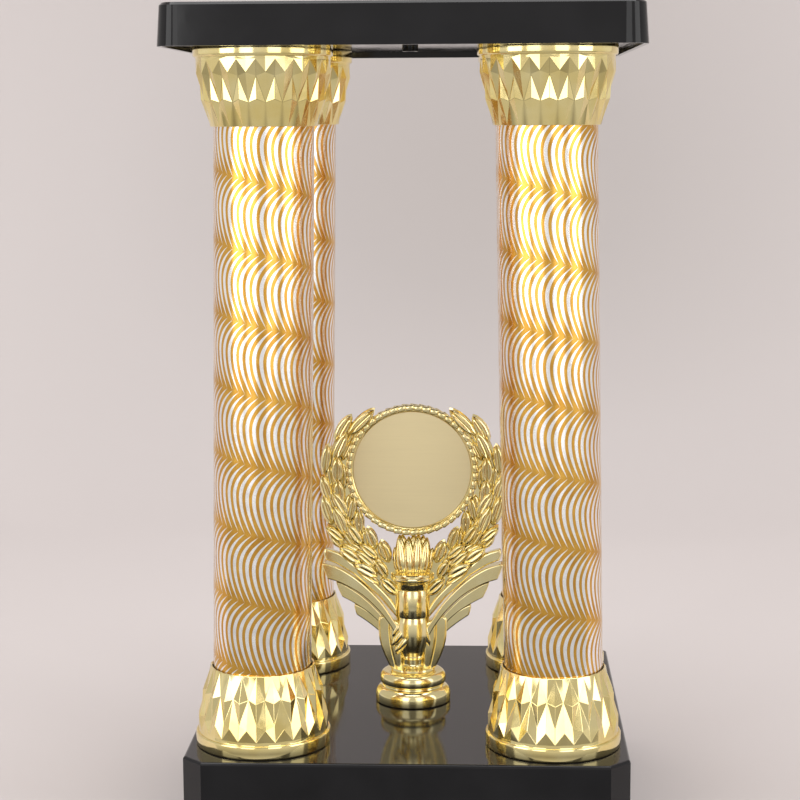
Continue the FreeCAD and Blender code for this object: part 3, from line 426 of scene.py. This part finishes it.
# The columns lean inwards: how far their axes stand from the middle at the foot and at the head,
# and the height of a line of the print at each column's front. Whole turns are added so that the
# count of turns is never negative.
foot_spread, head_spread = 58.5, 54.1
film_radius, film_thickness, film_gap = 19.53, 0.2, 12.0
line_height = {"front_left": 267.83, "front_right": 264.9, "back_left": 271.0, "back_right": 261.0}
added_turns = 20
for corner, (x_side, y_side) in corner_sides.items():
    foot = Vector((x_side * foot_spread * MM, y_side * foot_spread * MM, base_top))
    head = Vector((x_side * head_spread * MM, y_side * head_spread * MM, ceiling))
    length = (head - foot).length - 2 * film_gap * MM
    bpy.ops.object.select_all(action="DESELECT")
    bpy.ops.mesh.primitive_cylinder_add(
        vertices=96, radius=film_radius * MM, depth=length, end_fill_type="NOTHING",
        location=(0, 0, length / 2 + film_gap * MM))
    wrap = bpy.context.object
    wrap.name = f"printed_film_{corner}"
    bpy.ops.object.transform_apply()
    # X of the piece's own map is the share of a turn from the front, Y the turns down the helix
    layer = wrap.data.uv_layers.active or wrap.data.uv_layers.new(name="wrap")
    for polygon in wrap.data.polygons:
        centre_angle = atan2(polygon.center.x, -polygon.center.y)
        for index in polygon.loop_indices:
            point = wrap.data.vertices[wrap.data.loops[index].vertex_index].co
            angle = atan2(point.x, -point.y)
            if angle - centre_angle > pi:
                angle -= 2 * pi
            if angle - centre_angle < -pi:
                angle += 2 * pi
            share = angle / (2 * pi)
            height = (base_top + point.z) / MM
            turns_down = (line_height[corner] - height) / film_turn - share + added_turns
            layer.data[index].uv = (share, turns_down)
    only(wrap)
    wall = wrap.modifiers.new("wall", "SOLIDIFY")
    wall.thickness = film_thickness * MM
    wall.offset = -1
    bpy.ops.object.modifier_apply(modifier="wall")
    bpy.ops.object.shade_smooth_by_angle(angle=radians(40))
    lean = Vector((0, 0, 1)).rotation_difference(head - foot).to_matrix().to_4x4()
    wrap.matrix_world = Matrix.Translation(foot) @ lean
    bpy.ops.object.transform_apply(location=True, rotation=True)
    paint(wrap, film, "tier")
    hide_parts(f"column_film_{corner}")
    coat_node(tube_plastic, f"column_tube_{corner}")
    coat_node(zinc_plate, f"tie_rod_{corner}")
coat_node(zinc_plate, "base_washers", "base_nuts", "tray_washers", "tray_nuts")


# TRAY. The tray is a downturned black styrene moulding with rounded corners, and a flat plate set
# up inside its rim, which the upper caps bear on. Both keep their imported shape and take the
# base's polished black.
coat_node(gloss_black, "tray_shell", "tray_floor")


# HOLDER: THE FOOT. The wreath stands on a two-step foot, turned smooth and plated gold like the
# rest of the holder. It is not glued: the stud lets it turn on the base, so every piece from here
# to the centre disc rides with it.
holder_gold = plated_gold(
    "gold_lacquered_holder", (0.95, 0.84, 0.48), (0.86, 0.71, 0.32), 0.1, 0.2)
foot_profile = [
    (15.5, 0.0), (15.9, 0.35), (16.0, 0.9), (16.0, 3.4), (15.8, 4.4), (15.2, 5.5), (14.2, 6.4),
    (13.1, 6.9), (12.9, 7.3), (13.5, 7.8), (13.9, 8.6), (14.0, 9.6), (14.0, 10.6), (13.7, 11.7),
    (13.0, 12.6), (12.0, 13.2), (10.8, 13.4), (3.3, 13.35), (3.2, 13.2), (3.2, 0.1), (15.5, 0.0),
]
foot = turned("turned_foot", foot_profile, 96)
foot.location = (0, 0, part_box("holder_foot")[0].z)
only(foot)
bpy.ops.object.transform_apply(location=True)
bpy.ops.object.shade_smooth_by_angle(angle=radians(38))
paint(foot, holder_gold, "holder")
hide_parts("holder_foot")
coat_node(zinc_plate, "holder_stud", "holder_washer", "holder_nut")


# HOLDER: SEAT AND ROPE RING. A shallow round seat takes the centre disc, and a rope of slanted
# beads runs round its edge, front and back. Seat, rope, laurel, wings and torch are one gold
# plated moulding in the real holder.
seat_height = 100.0
seat_centre = Vector((0, 0, base_top + seat_height * MM))
stand_up = Matrix.Translation(seat_centre) @ Matrix.Rotation(pi / 2, 4, "X")
seat_profile = [
    (1.0, -2.1), (22.6, -2.1), (23.4, -1.7), (24.0, -1.8), (25.4, -1.7), (26.6, -1.2), (27.0, 0.0),
    (26.6, 1.0), (25.9, 1.3), (25.4, 1.3), (25.15, 1.1), (25.15, -0.1), (1.0, -0.1),
]
seat_turning = turned("seat_turning", seat_profile, 128)
seat = set_down(seat_turning, "disc_seat", stand_up)
scrap(seat_turning)
bpy.ops.object.shade_smooth_by_angle(angle=radians(35))


def gather(pieces, name):
    """Joins pieces into the first of them, under one name."""
    only(pieces[0])
    for piece in pieces:
        piece.select_set(True)
    bpy.ops.object.join()
    pieces[0].name = name
    return pieces[0]


beads_round = 48
rope_radius = 26.7
bead_size = (3.9, 2.6, 2.4)
bead_edge, bead_slant = 0.65, 9
bead_forward = 1.5
bpy.ops.object.select_all(action="DESELECT")
bpy.ops.mesh.primitive_cube_add(size=1, scale=[side * MM for side in bead_size])
bead = bpy.context.object
bpy.ops.object.transform_apply(scale=True)
bpy.ops.object.mode_set(mode="EDIT")
bpy.ops.mesh.select_all(action="SELECT")
bpy.ops.mesh.bevel(offset=bead_edge * MM, segments=2, profile=0.5, affect="EDGES")
bpy.ops.mesh.select_all(action="SELECT")
bpy.ops.transform.rotate(value=radians(bead_slant), orient_axis="Y", center_override=(0, 0, 0))
leave_edit()
beads = []
for count in range(beads_round):
    for facing in (-1, 1):
        turn = 2 * pi * (count + 0.25 * facing) / beads_round
        stand = (Matrix.Translation(seat_centre) @ Matrix.Rotation(turn, 4, "Y")
                 @ Matrix.Translation((0, facing * bead_forward * MM, rope_radius * MM))
                 @ Matrix.Rotation(0 if facing < 0 else pi, 4, "Z"))
        beads.append(set_down(bead, f"bead_{count}_{facing}", stand))
scrap(bead)
rope = gather(beads, "rope_ring")
bpy.ops.object.shade_smooth_by_angle(angle=radians(50))
for piece in (seat, rope):
    paint(piece, holder_gold, "holder")


# HOLDER: LAUREL. Two laurel branches rise from behind the torch and close round the seat, moulded
# with the rest. Every leaf has two full lobes with a slit between them, and a thin web behind the
# leaves ties them together.
def eased(points, steps=4):
    """A smooth line through given points."""
    line = []
    for index in range(len(points) - 1):
        a = Vector(points[max(index - 1, 0)])
        b = Vector(points[index])
        c = Vector(points[index + 1])
        d = Vector(points[min(index + 2, len(points) - 1)])
        for step in range(steps):
            t = step / steps
            line.append(0.5 * ((2 * b) + (c - a) * t + (2 * a - 5 * b + 4 * c - d) * t * t
                               + (3 * b - a - 3 * c + d) * t ** 3))
    line.append(Vector(points[-1]))
    return line


def plate(name, outline, half_thickness):
    """Cuts a plate to an outline of (across, up) points in mm, above the base's top face."""
    bpy.ops.object.select_all(action="DESELECT")
    bpy.ops.mesh.primitive_circle_add(vertices=len(outline), radius=0.01, fill_type="NGON")
    piece = bpy.context.object
    piece.name = name
    for point, (across, up_mm) in zip(piece.data.vertices, outline):
        point.co = (across * MM, half_thickness * MM, base_top + up_mm * MM)
    bpy.ops.object.mode_set(mode="EDIT")
    bpy.ops.mesh.select_all(action="SELECT")
    bpy.ops.mesh.extrude_region_move(
        TRANSFORM_OT_translate={"value": (0, -2 * half_thickness * MM, 0)})
    bpy.ops.mesh.select_all(action="SELECT")
    bpy.ops.mesh.normals_make_consistent(inside=False)
    leave_edit()
    return piece


def repeat_across(piece, left_and_right, front_and_back):
    """Repeats a piece on the other side of the middle, behind it, or both."""
    only(piece)
    twin = piece.modifiers.new("twin", "MIRROR")
    twin.use_axis = (left_and_right, front_and_back, False)
    twin.use_mirror_merge = False
    bpy.ops.object.modifier_apply(modifier="twin")


web_outline = (
    [(17.2, 124.6), (22.5, 121.6)]
    + eased([(27.2, 118.6), (31.5, 114.5), (34.8, 107.5), (36.8, 98.0), (37.0, 88.0), (35.6, 79.0),
             (33.0, 72.0), (29.5, 66.0), (24.5, 60.0), (16.5, 51.5), (9.0, 41.0)])
    + [(6.0, 41.0), (6.0, 60.5), (9.4, 61.6)]
    + eased([(12.0, 66.6), (14.6, 68.0), (18.0, 72.8), (20.6, 74.6), (21.4, 79.0), (22.6, 82.6),
             (25.2, 86.8), (26.9, 93.0), (27.2, 100.0), (25.6, 109.0), (21.0, 117.0),
             (16.4, 121.8)]))
web = plate("branch_web", web_outline, 1.5)

# One leaf, shaped from a block of 6 by 6 cells. Along it, at shares of its length: half its width,
# and how full it is. Across it, at shares of that half width: how far its skin stands up.
leaf_length, leaf_width = 12.0, 4.6
leaf_cells = 6
leaf_back, leaf_bow = 0.7, 1.0
leaf_steps = [(0.0, 0.35, 0.35), (0.12, 1.5, 0.9), (0.32, 2.15, 1.0), (0.52, 2.3, 1.0),
              (0.72, 1.95, 0.95), (0.9, 1.15, 0.75), (1.0, 0.12, 0.3)]
lobe_steps = [(-1.0, 0.0), (-0.74, 0.75), (-0.36, 1.05), (0.0, 0.4), (0.36, 1.05), (0.74, 0.75),
              (1.0, 0.0)]
bpy.ops.object.select_all(action="DESELECT")
bpy.ops.mesh.primitive_grid_add(x_subdivisions=leaf_cells, y_subdivisions=leaf_cells,
                                size=leaf_cells)
leaf = bpy.context.object
leaf.name = "leaf_pattern"
bpy.ops.object.mode_set(mode="EDIT")
bpy.ops.mesh.select_all(action="SELECT")
bpy.ops.mesh.extrude_region_move(TRANSFORM_OT_translate={"value": (0, 0, 1)})
leave_edit()
for point in leaf.data.vertices:
    across_share, lobe = lobe_steps[round(point.co.x) + leaf_cells // 2]
    length_share, half_wide, fullness = leaf_steps[round(point.co.y) + leaf_cells // 2]
    skin_mm = leaf_back + lobe * fullness if point.co.z > 0.5 else 0
    forward_mm = skin_mm + leaf_bow * length_share ** 2
    point.co = (across_share * half_wide * MM, -forward_mm * MM, length_share * leaf_length * MM)
bpy.ops.object.mode_set(mode="EDIT")
bpy.ops.mesh.select_all(action="SELECT")
bpy.ops.mesh.normals_make_consistent(inside=False)
leave_edit()
bpy.ops.object.shade_smooth_by_angle(angle=radians(62))

# each leaf: where it starts, where its tip is (across, up), its width, and its layer
leaf_places = [
    ((27.0, 115.0), (16.4, 125.4), 4.2, 2), ((32.4, 112.0), (26.2, 122.9), 4.6, 1),
    ((33.0, 104.0), (28.0, 115.4), 4.2, 2), ((37.0, 98.0), (35.4, 110.3), 3.9, 1),
    ((29.7, 104.0), (25.7, 112.0), 2.8, 0), ((31.6, 94.0), (31.4, 105.0), 4.4, 2),
    ((34.6, 86.0), (37.9, 97.0), 4.0, 1), ((28.9, 91.0), (28.9, 102.0), 3.0, 0),
    ((30.5, 84.0), (31.0, 95.5), 4.2, 2), ((27.4, 80.0), (33.2, 90.6), 4.2, 2),
    ((34.0, 76.5), (37.5, 88.4), 4.4, 1), ((27.3, 77.6), (26.9, 89.0), 3.6, 0),
    ((26.4, 77.6), (24.4, 87.9), 3.4, 1), ((22.5, 71.8), (23.1, 82.0), 3.9, 1),
    ((28.0, 72.0), (32.4, 83.8), 4.4, 2), ((15.7, 65.8), (19.0, 74.8), 4.0, 1),
    ((10.0, 60.2), (13.4, 69.0), 4.4, 1), ((14.8, 61.6), (21.9, 68.0), 3.6, 2),
    ((21.6, 67.8), (27.4, 76.4), 4.0, 2), ((16.0, 58.4), (23.2, 65.4), 3.4, 2),
    ((24.4, 67.0), (28.8, 74.0), 3.2, 1), ((22.0, 60.0), (30.4, 66.5), 4.4, 2),
    ((22.6, 63.2), (29.2, 67.8), 3.0, 1), ((15.0, 54.2), (23.8, 59.6), 4.6, 2),
    ((29.0, 69.2), (36.0, 75.6), 3.6, 2), ((29.8, 66.6), (34.5, 71.9), 3.0, 1),
    ((11.0, 53.6), (14.9, 60.6), 3.9, 1), ((6.4, 46.2), (13.3, 53.0), 4.2, 1),
    ((13.8, 50.2), (23.0, 57.0), 3.6, 0),
    ((18.5, 66.0), (20.2, 74.0), 3.4, 0), ((20.0, 71.0), (24.5, 78.5), 3.4, 0),
    ((11.4, 56.0), (17.4, 63.0), 3.6, 0), ((18.4, 61.2), (26.0, 68.4), 3.4, 0),
    ((25.6, 72.6), (29.6, 80.0), 3.4, 0), ((33.6, 92.0), (34.8, 101.4), 3.4, 0),
    ((30.0, 109.0), (24.2, 118.6), 3.6, 0), ((31.2, 80.0), (34.8, 90.0), 3.4, 0),
]
first_layer, layer_step = 0.3, 0.62
wider, deeper, longer = 1.22, 1.15, 1.06
random.seed(12)
leaves = []
for count, (start, tip, width, layer) in enumerate(leaf_places):
    across = tip[0] - start[0]
    up_mm = tip[1] - start[1]
    long = sqrt(across ** 2 + up_mm ** 2)
    depth = first_layer + layer_step * layer + random.uniform(-0.12, 0.12)
    twist = random.uniform(-9, 9)
    stand = (Matrix.Translation((start[0] * MM, -depth * MM, base_top + start[1] * MM))
             @ Matrix.Rotation(atan2(across, up_mm), 4, "Y")
             @ Matrix.Rotation(radians(twist), 4, "Z")
             @ Matrix.Diagonal((wider * width / leaf_width, deeper,
                                longer * long / leaf_length, 1)))
    leaves.append(set_down(leaf, f"leaf_{count}", stand))
scrap(leaf)
leafage = gather(leaves, "leafage")
repeat_across(leafage, False, True)
laurel = gather([web, leafage], "laurel_branches")
repeat_across(laurel, True, False)
paint(laurel, holder_gold, "holder")


# HOLDER: WINGS AND DRAPERY. Smooth feathers sweep up and out on each side, each set a little
# behind the one above, over a strip that shows at the tip, and two rounded folds of drapery hang
# under them. They are part of the plated moulding, with soft edges.
tip_strip = (
    eased([(6.0, 39.0), (9.4, 44.6), (14.6, 50.2), (20.0, 55.2), (25.6, 60.0), (30.5, 64.0),
           (37.4, 66.2)], 3)
    + [(37.8, 64.0), (37.2, 61.4), (32.0, 59.4), (25.0, 55.0), (14.0, 45.0), (6.0, 35.0)])
top_feather = (
    eased([(4.4, 27.4), (6.0, 32.2), (9.0, 37.0), (13.6, 43.6), (20.4, 50.6), (26.6, 55.4),
           (32.0, 58.4), (37.6, 60.0)])
    + eased([(38.4, 59.6), (37.4, 56.6), (36.2, 53.8)], 2)
    + eased([(35.8, 53.4), (29.7, 51.3), (21.8, 46.7), (14.7, 40.0), (9.4, 33.0), (6.0, 26.6)]))
middle_feather = (
    eased([(5.2, 25.6), (9.0, 31.6), (14.2, 38.6), (21.4, 45.6), (28.6, 50.4), (32.6, 52.0)])
    + [(31.8, 49.2), (30.2, 45.8)]
    + eased([(30.0, 45.4), (24.5, 42.4), (18.6, 38.4), (13.6, 33.4), (8.4, 26.0)]))
low_feather = (
    eased([(6.0, 26.0), (10.6, 31.6), (15.8, 36.8), (21.0, 40.4), (24.8, 42.2)])
    + [(24.9, 40.6), (24.0, 37.6)]
    + eased([(23.6, 37.2), (19.0, 34.0), (14.4, 30.2), (9.4, 25.0)]))
outer_fold = (
    eased([(9.2, 36.6), (14.2, 36.6), (14.5, 30.0), (13.9, 25.4), (12.3, 20.4), (9.9, 15.2)])
    + eased([(8.8, 13.9), (7.0, 14.4), (8.2, 20.0), (9.4, 26.0), (9.8, 32.0)]))
inner_fold = (
    eased([(5.2, 34.0), (9.2, 35.6), (9.9, 30.0), (9.5, 25.0), (8.6, 20.0), (7.4, 15.0)])
    + eased([(6.6, 13.8), (4.6, 14.0), (4.6, 20.0), (4.8, 28.0)]))
feathers = [plate("tip_strip", tip_strip, 2.2), plate("top_feather", top_feather, 3.8),
            plate("middle_feather", middle_feather, 2.6), plate("low_feather", low_feather, 2.0)]
folds = [plate("outer_fold", outer_fold, 3.2), plate("inner_fold", inner_fold, 3.5)]
for piece in feathers:
    dress_edges(piece, 0.8, 35, 3)
for piece in folds:
    dress_edges(piece, 1.3, 50, 4)
wings = gather(feathers + folds, "wings_and_drapery")
repeat_across(wings, True, False)
bpy.ops.object.shade_smooth_by_angle(angle=radians(40))
flat_face = 6e-6
for polygon in wings.data.polygons:
    polygon.use_smooth = polygon.area < flat_face
paint(wings, holder_gold, "holder")


# HOLDER: TORCH AND HAND. A closed hand holds a torch upright in the middle: cuff, fist, plain
# barrel, undercut and a lipped cup, with the fingers as slanting folds across the fist, front and
# back. It is the core of the plated moulding.
torch_profile = [
    (2.0, 13.45), (9.2, 13.45), (9.4, 13.9), (9.0, 14.6), (6.4, 15.1), (5.4, 15.7), (4.9, 16.4),
    (4.9, 18.3), (5.3, 18.8), (5.5, 19.4), (5.2, 19.9), (5.6, 21.4), (6.6, 24.0), (7.2, 27.5),
    (7.3, 31.0), (7.1, 34.0), (6.9, 36.2), (6.7, 36.7), (7.2, 36.9), (7.4, 37.3), (7.4, 48.3),
    (7.2, 48.8), (6.9, 49.0), (7.0, 49.4), (7.6, 51.2), (8.6, 52.6), (9.1, 52.9), (9.4, 53.4),
    (9.4, 54.2), (9.15, 54.5), (9.15, 54.7), (9.35, 55.0), (9.3, 55.6), (8.9, 56.0), (2.0, 56.2),
]
torch = turned("torch", torch_profile, 72)
torch.location = (0, 0, base_top)
only(torch)
bpy.ops.object.transform_apply(location=True)
bpy.ops.object.shade_smooth_by_angle(angle=radians(32))

fist_radius, finger_sink = 6.6, 1.1
finger_profile = [(0.25, -7.6), (1.1, -6.8), (1.75, -4.6), (2.0, -1.5), (1.9, 2.0), (1.5, 5.0),
                  (0.9, 6.8), (0.25, 7.6)]
finger = turned("finger", finger_profile, 12)
only(finger)
bpy.ops.object.shade_smooth()
# each finger: its middle (across, up), its slant in degrees, and its size
finger_places = [(-5.4, 33.0, -34, 0.8), (-4.2, 30.2, -38, 0.95), (-2.6, 27.4, -40, 0.95),
                 (-4.4, 25.2, -30, 0.7), (5.5, 30.4, 14, 0.9)]
hand = [torch]
for facing in (-1, 1):
    for count, (across, up_mm, slant, size) in enumerate(finger_places):
        forward_mm = sqrt(max(fist_radius ** 2 - across ** 2, 1.0)) - finger_sink
        stand = (Matrix.Translation((across * MM, facing * forward_mm * MM, base_top + up_mm * MM))
                 @ Matrix.Rotation(radians(-slant), 4, "Y") @ Matrix.Scale(size, 4))
        hand.append(set_down(finger, f"finger_{count}_{facing}", stand))
scrap(finger)
torch = gather(hand, "torch_in_hand")
paint(torch, holder_gold, "holder")
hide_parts("holder_frame")


# HOLDER: FLAME. The flame is a sheaf of upright tongues that fan out of the torch's cup, lean
# outwards at the sides and meet the rope ring. It is moulded with the torch and plated gold, and
# is the same at the back.
flame_foot = 56.0
flame_lean, tongue_turn = 5, 37
tongue_profile = [(1.4, -1.5), (2.5, 1.0), (3.2, 4.0), (3.1, 7.5), (2.55, 11.0), (1.6, 14.2),
                  (0.4, 16.4)]
tongue = turned("tongue", tongue_profile, 10)
only(tongue)
bpy.ops.object.shade_smooth()
# each tongue: where it stands (across, forward), its lean in degrees, and its size
tongue_places = [
    (-5.4, 1.0, -12, 0.66), (-3.6, 2.6, -7, 0.97), (-0.9, 3.7, -3, 0.9), (1.7, 3.5, 3, 0.97),
    (3.9, 2.6, 9, 0.9), (5.7, 0.9, 16, 0.66), (0.6, 1.2, 0, 1.0), (-2.6, 1.0, -6, 0.99),
    (3.0, 1.0, 6, 0.97)]
tongues = []
for facing in (-1, 1):
    for count, (across, forward_mm, lean, size) in enumerate(tongue_places):
        stand = (Matrix.Translation((across * MM, facing * forward_mm * MM,
                                     base_top + flame_foot * MM))
                 @ Matrix.Rotation(radians(lean), 4, "Y")
                 @ Matrix.Rotation(radians(flame_lean * facing), 4, "X")
                 @ Matrix.Rotation(radians(tongue_turn * count), 4, "Z") @ Matrix.Scale(size, 4))
        tongues.append(set_down(tongue, f"tongue_{count}_{facing}", stand))
scrap(tongue)
flame = gather(tongues, "flame")
paint(flame, holder_gold, "holder")


# CENTRE DISC. A stamped metal disc with a satin champagne finish drops into the seat. It keeps its
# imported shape, and its fine grain runs straight across.
disc_face, surface, place = new_finish("satin_champagne", (0.8, 0.66, 0.4), 1.0, 0.34)
brushing = speckle(disc_face, place, 0.7, 3.0, (0.03, 1, 1))
tint(disc_face, surface, brushing, [(0.3, (0.87, 0.735, 0.44)), (0.7, (0.89, 0.755, 0.455))])
gloss(disc_face, surface, brushing, 0.34, 0.4)
ripple(disc_face, surface, brushing, 0.03, 0.006)
coat_node(disc_face, "centre_disc")


# STUDIO. The trophy stands on pale paper that curves up into the wall behind it, and ends just in
# front of the base. Four upright softboxes at the sides and front and a wide one overhead light
# it. None of this is part of the trophy.
paper_half_width, paper_front, paper_back = 1.6, -0.11, 0.55
bend_radius, bend_steps, wall_height = 0.5, 16, 2.2
bpy.ops.object.select_all(action="DESELECT")
bpy.ops.mesh.primitive_plane_add(size=1)
cove = bpy.context.object
cove.name = "paper_cove"
for point in cove.data.vertices:
    point.co = (paper_half_width * (1 if point.co.x > 0 else -1),
                paper_front if point.co.y < 0 else paper_back, 0)
pick_points(cove, lambda place: place.y > 0)
before = Vector((0, paper_back, 0))
for step in range(1, bend_steps + 1):
    turn = radians(90 * step / bend_steps)
    after = Vector((0, paper_back + bend_radius * sin(turn), bend_radius * (1 - cos(turn))))
    bpy.ops.mesh.extrude_region_move(TRANSFORM_OT_translate={"value": after - before})
    before = after
bpy.ops.mesh.extrude_region_move(TRANSFORM_OT_translate={"value": (0, 0, wall_height)})
bpy.ops.mesh.select_all(action="SELECT")
bpy.ops.mesh.normals_make_consistent(inside=False)
leave_edit()
bpy.ops.object.shade_smooth()

# the paper's colour is painted a little darker in the middle of the wall than at its sides:
# painted shade, standing in for the lamps' light falling off there
paper, surface, place = new_finish("pale_paper_with_painted_shade", (0.62, 0.57, 0.56), 0.0, 0.9)
surface.inputs["Specular IOR Level"].default_value = 0.1
painted_shade_from_middle = paper.node_tree.nodes.new("ShaderNodeVectorMath")
painted_shade_from_middle.operation = "DISTANCE"
painted_shade_from_middle.inputs[1].default_value = (0.03, 1.05, 0.2)
join(paper, place, "Object", painted_shade_from_middle, "Vector")
# painted shade: the ramp darkens the paper's colour by its distance from the middle of the wall
tint(paper, surface, painted_shade_from_middle,
     [(0.0, (0.41, 0.374, 0.36)), (0.16, (0.44, 0.405, 0.395)),
      (0.36, (0.525, 0.485, 0.477)), (0.6, (0.585, 0.54, 0.532))], "Value")
cove.data.materials.append(paper)

# each softbox: where it stands, what it faces, its width and height, and its power
for name, stand, aim, width, height, watts in [
        ("left_softbox", (-1.15, -0.85, 0.68), (0, 0, 0.25), 0.7, 1.25, 6.6),
        ("right_softbox", (1.3, -0.7, 0.68), (0, 0, 0.25), 0.7, 1.25, 5.6),
        ("front_left_softbox", (-0.6, -1.5, 0.66), (0, 0, 0.4), 0.62, 1.3, 4.4),
        ("front_right_softbox", (0.62, -1.5, 0.66), (0, 0, 0.4), 0.62, 1.3, 4.1),
        ("top_softbox", (0, -0.15, 1.9), (0, 0.1, 0), 1.8, 1.4, 24)]:
    bpy.ops.object.light_add(type="AREA", location=stand)
    lamp = bpy.context.object
    lamp.name = name
    lamp.data.shape = "RECTANGLE"
    lamp.data.size = width
    lamp.data.size_y = height
    lamp.data.energy = watts
    lamp.rotation_euler = (Vector(aim) - Vector(stand)).to_track_quat("-Z", "Y").to_euler()

# The room shows plain and pale behind the paper. What the polished pieces mirror of it goes by how
# far up or down they look: darkest about 20 degrees down, and palest straight across.
room_shades = [(0.0, 0.36), (0.15, 0.62), (0.27, 0.6), (0.335, 0.3), (0.4, 0.56), (0.49, 0.8),
               (0.56, 0.58)]
world = bpy.data.worlds.new("room")
bpy.context.scene.world = world
world.use_nodes = True
room = world.node_tree
plain = room.nodes["Background"]
plain.inputs["Color"].default_value = (0.72, 0.66, 0.65, 1)
plain.inputs["Strength"].default_value = 0.95
direction = room.nodes.new("ShaderNodeTexCoord")
upward = room.nodes.new("ShaderNodeSeparateXYZ")
join(world, direction, "Generated", upward, "Vector")
walls = room.nodes.new("ShaderNodeMapRange")
walls.inputs["From Min"].default_value = -1.0
walls.inputs["From Max"].default_value = 1.0
join(world, upward, "Z", walls, "Value")
shades = ramp(world, walls, "Result",
              [(stop, (shade, 0.97 * shade, 0.94 * shade)) for stop, shade in room_shades])
mirrored = room.nodes.new("ShaderNodeBackground")
join(world, shades, "Color", mirrored, "Color")
ray = room.nodes.new("ShaderNodeLightPath")
choice = room.nodes.new("ShaderNodeMixShader")
join(world, ray, "Is Camera Ray", choice, "Fac")
room.links.new(mirrored.outputs["Background"], choice.inputs[1])
room.links.new(plain.outputs["Background"], choice.inputs[2])
join(world, choice, "Shader", room.nodes["World Output"], "Surface")

# the camera stands level with the upper caps and looks a little down
yaw, pitch, roll = -0.0444, -0.1437, -0.0054
stand = (0.031638, -0.824566, 0.294227)
forward = Vector((sin(yaw) * cos(pitch), cos(yaw) * cos(pitch), sin(pitch)))
level_right = Vector((cos(yaw), -sin(yaw), 0))
level_up = level_right.cross(forward)
right = level_right * cos(roll) + level_up * sin(roll)
up = -level_right * sin(roll) + level_up * cos(roll)
camera_data = bpy.data.cameras.new("camera")
camera_data.lens = 89.19
camera_data.sensor_width = 36
camera = bpy.data.objects.new("camera", camera_data)
bpy.context.collection.objects.link(camera)
camera.matrix_world = Matrix((
    (right.x, up.x, -forward.x, stand[0]),
    (right.y, up.y, -forward.y, stand[1]),
    (right.z, up.z, -forward.z, stand[2]),
    (0, 0, 0, 1)))
bpy.context.scene.camera = camera
bpy.context.scene.view_settings.view_transform = "Standard"
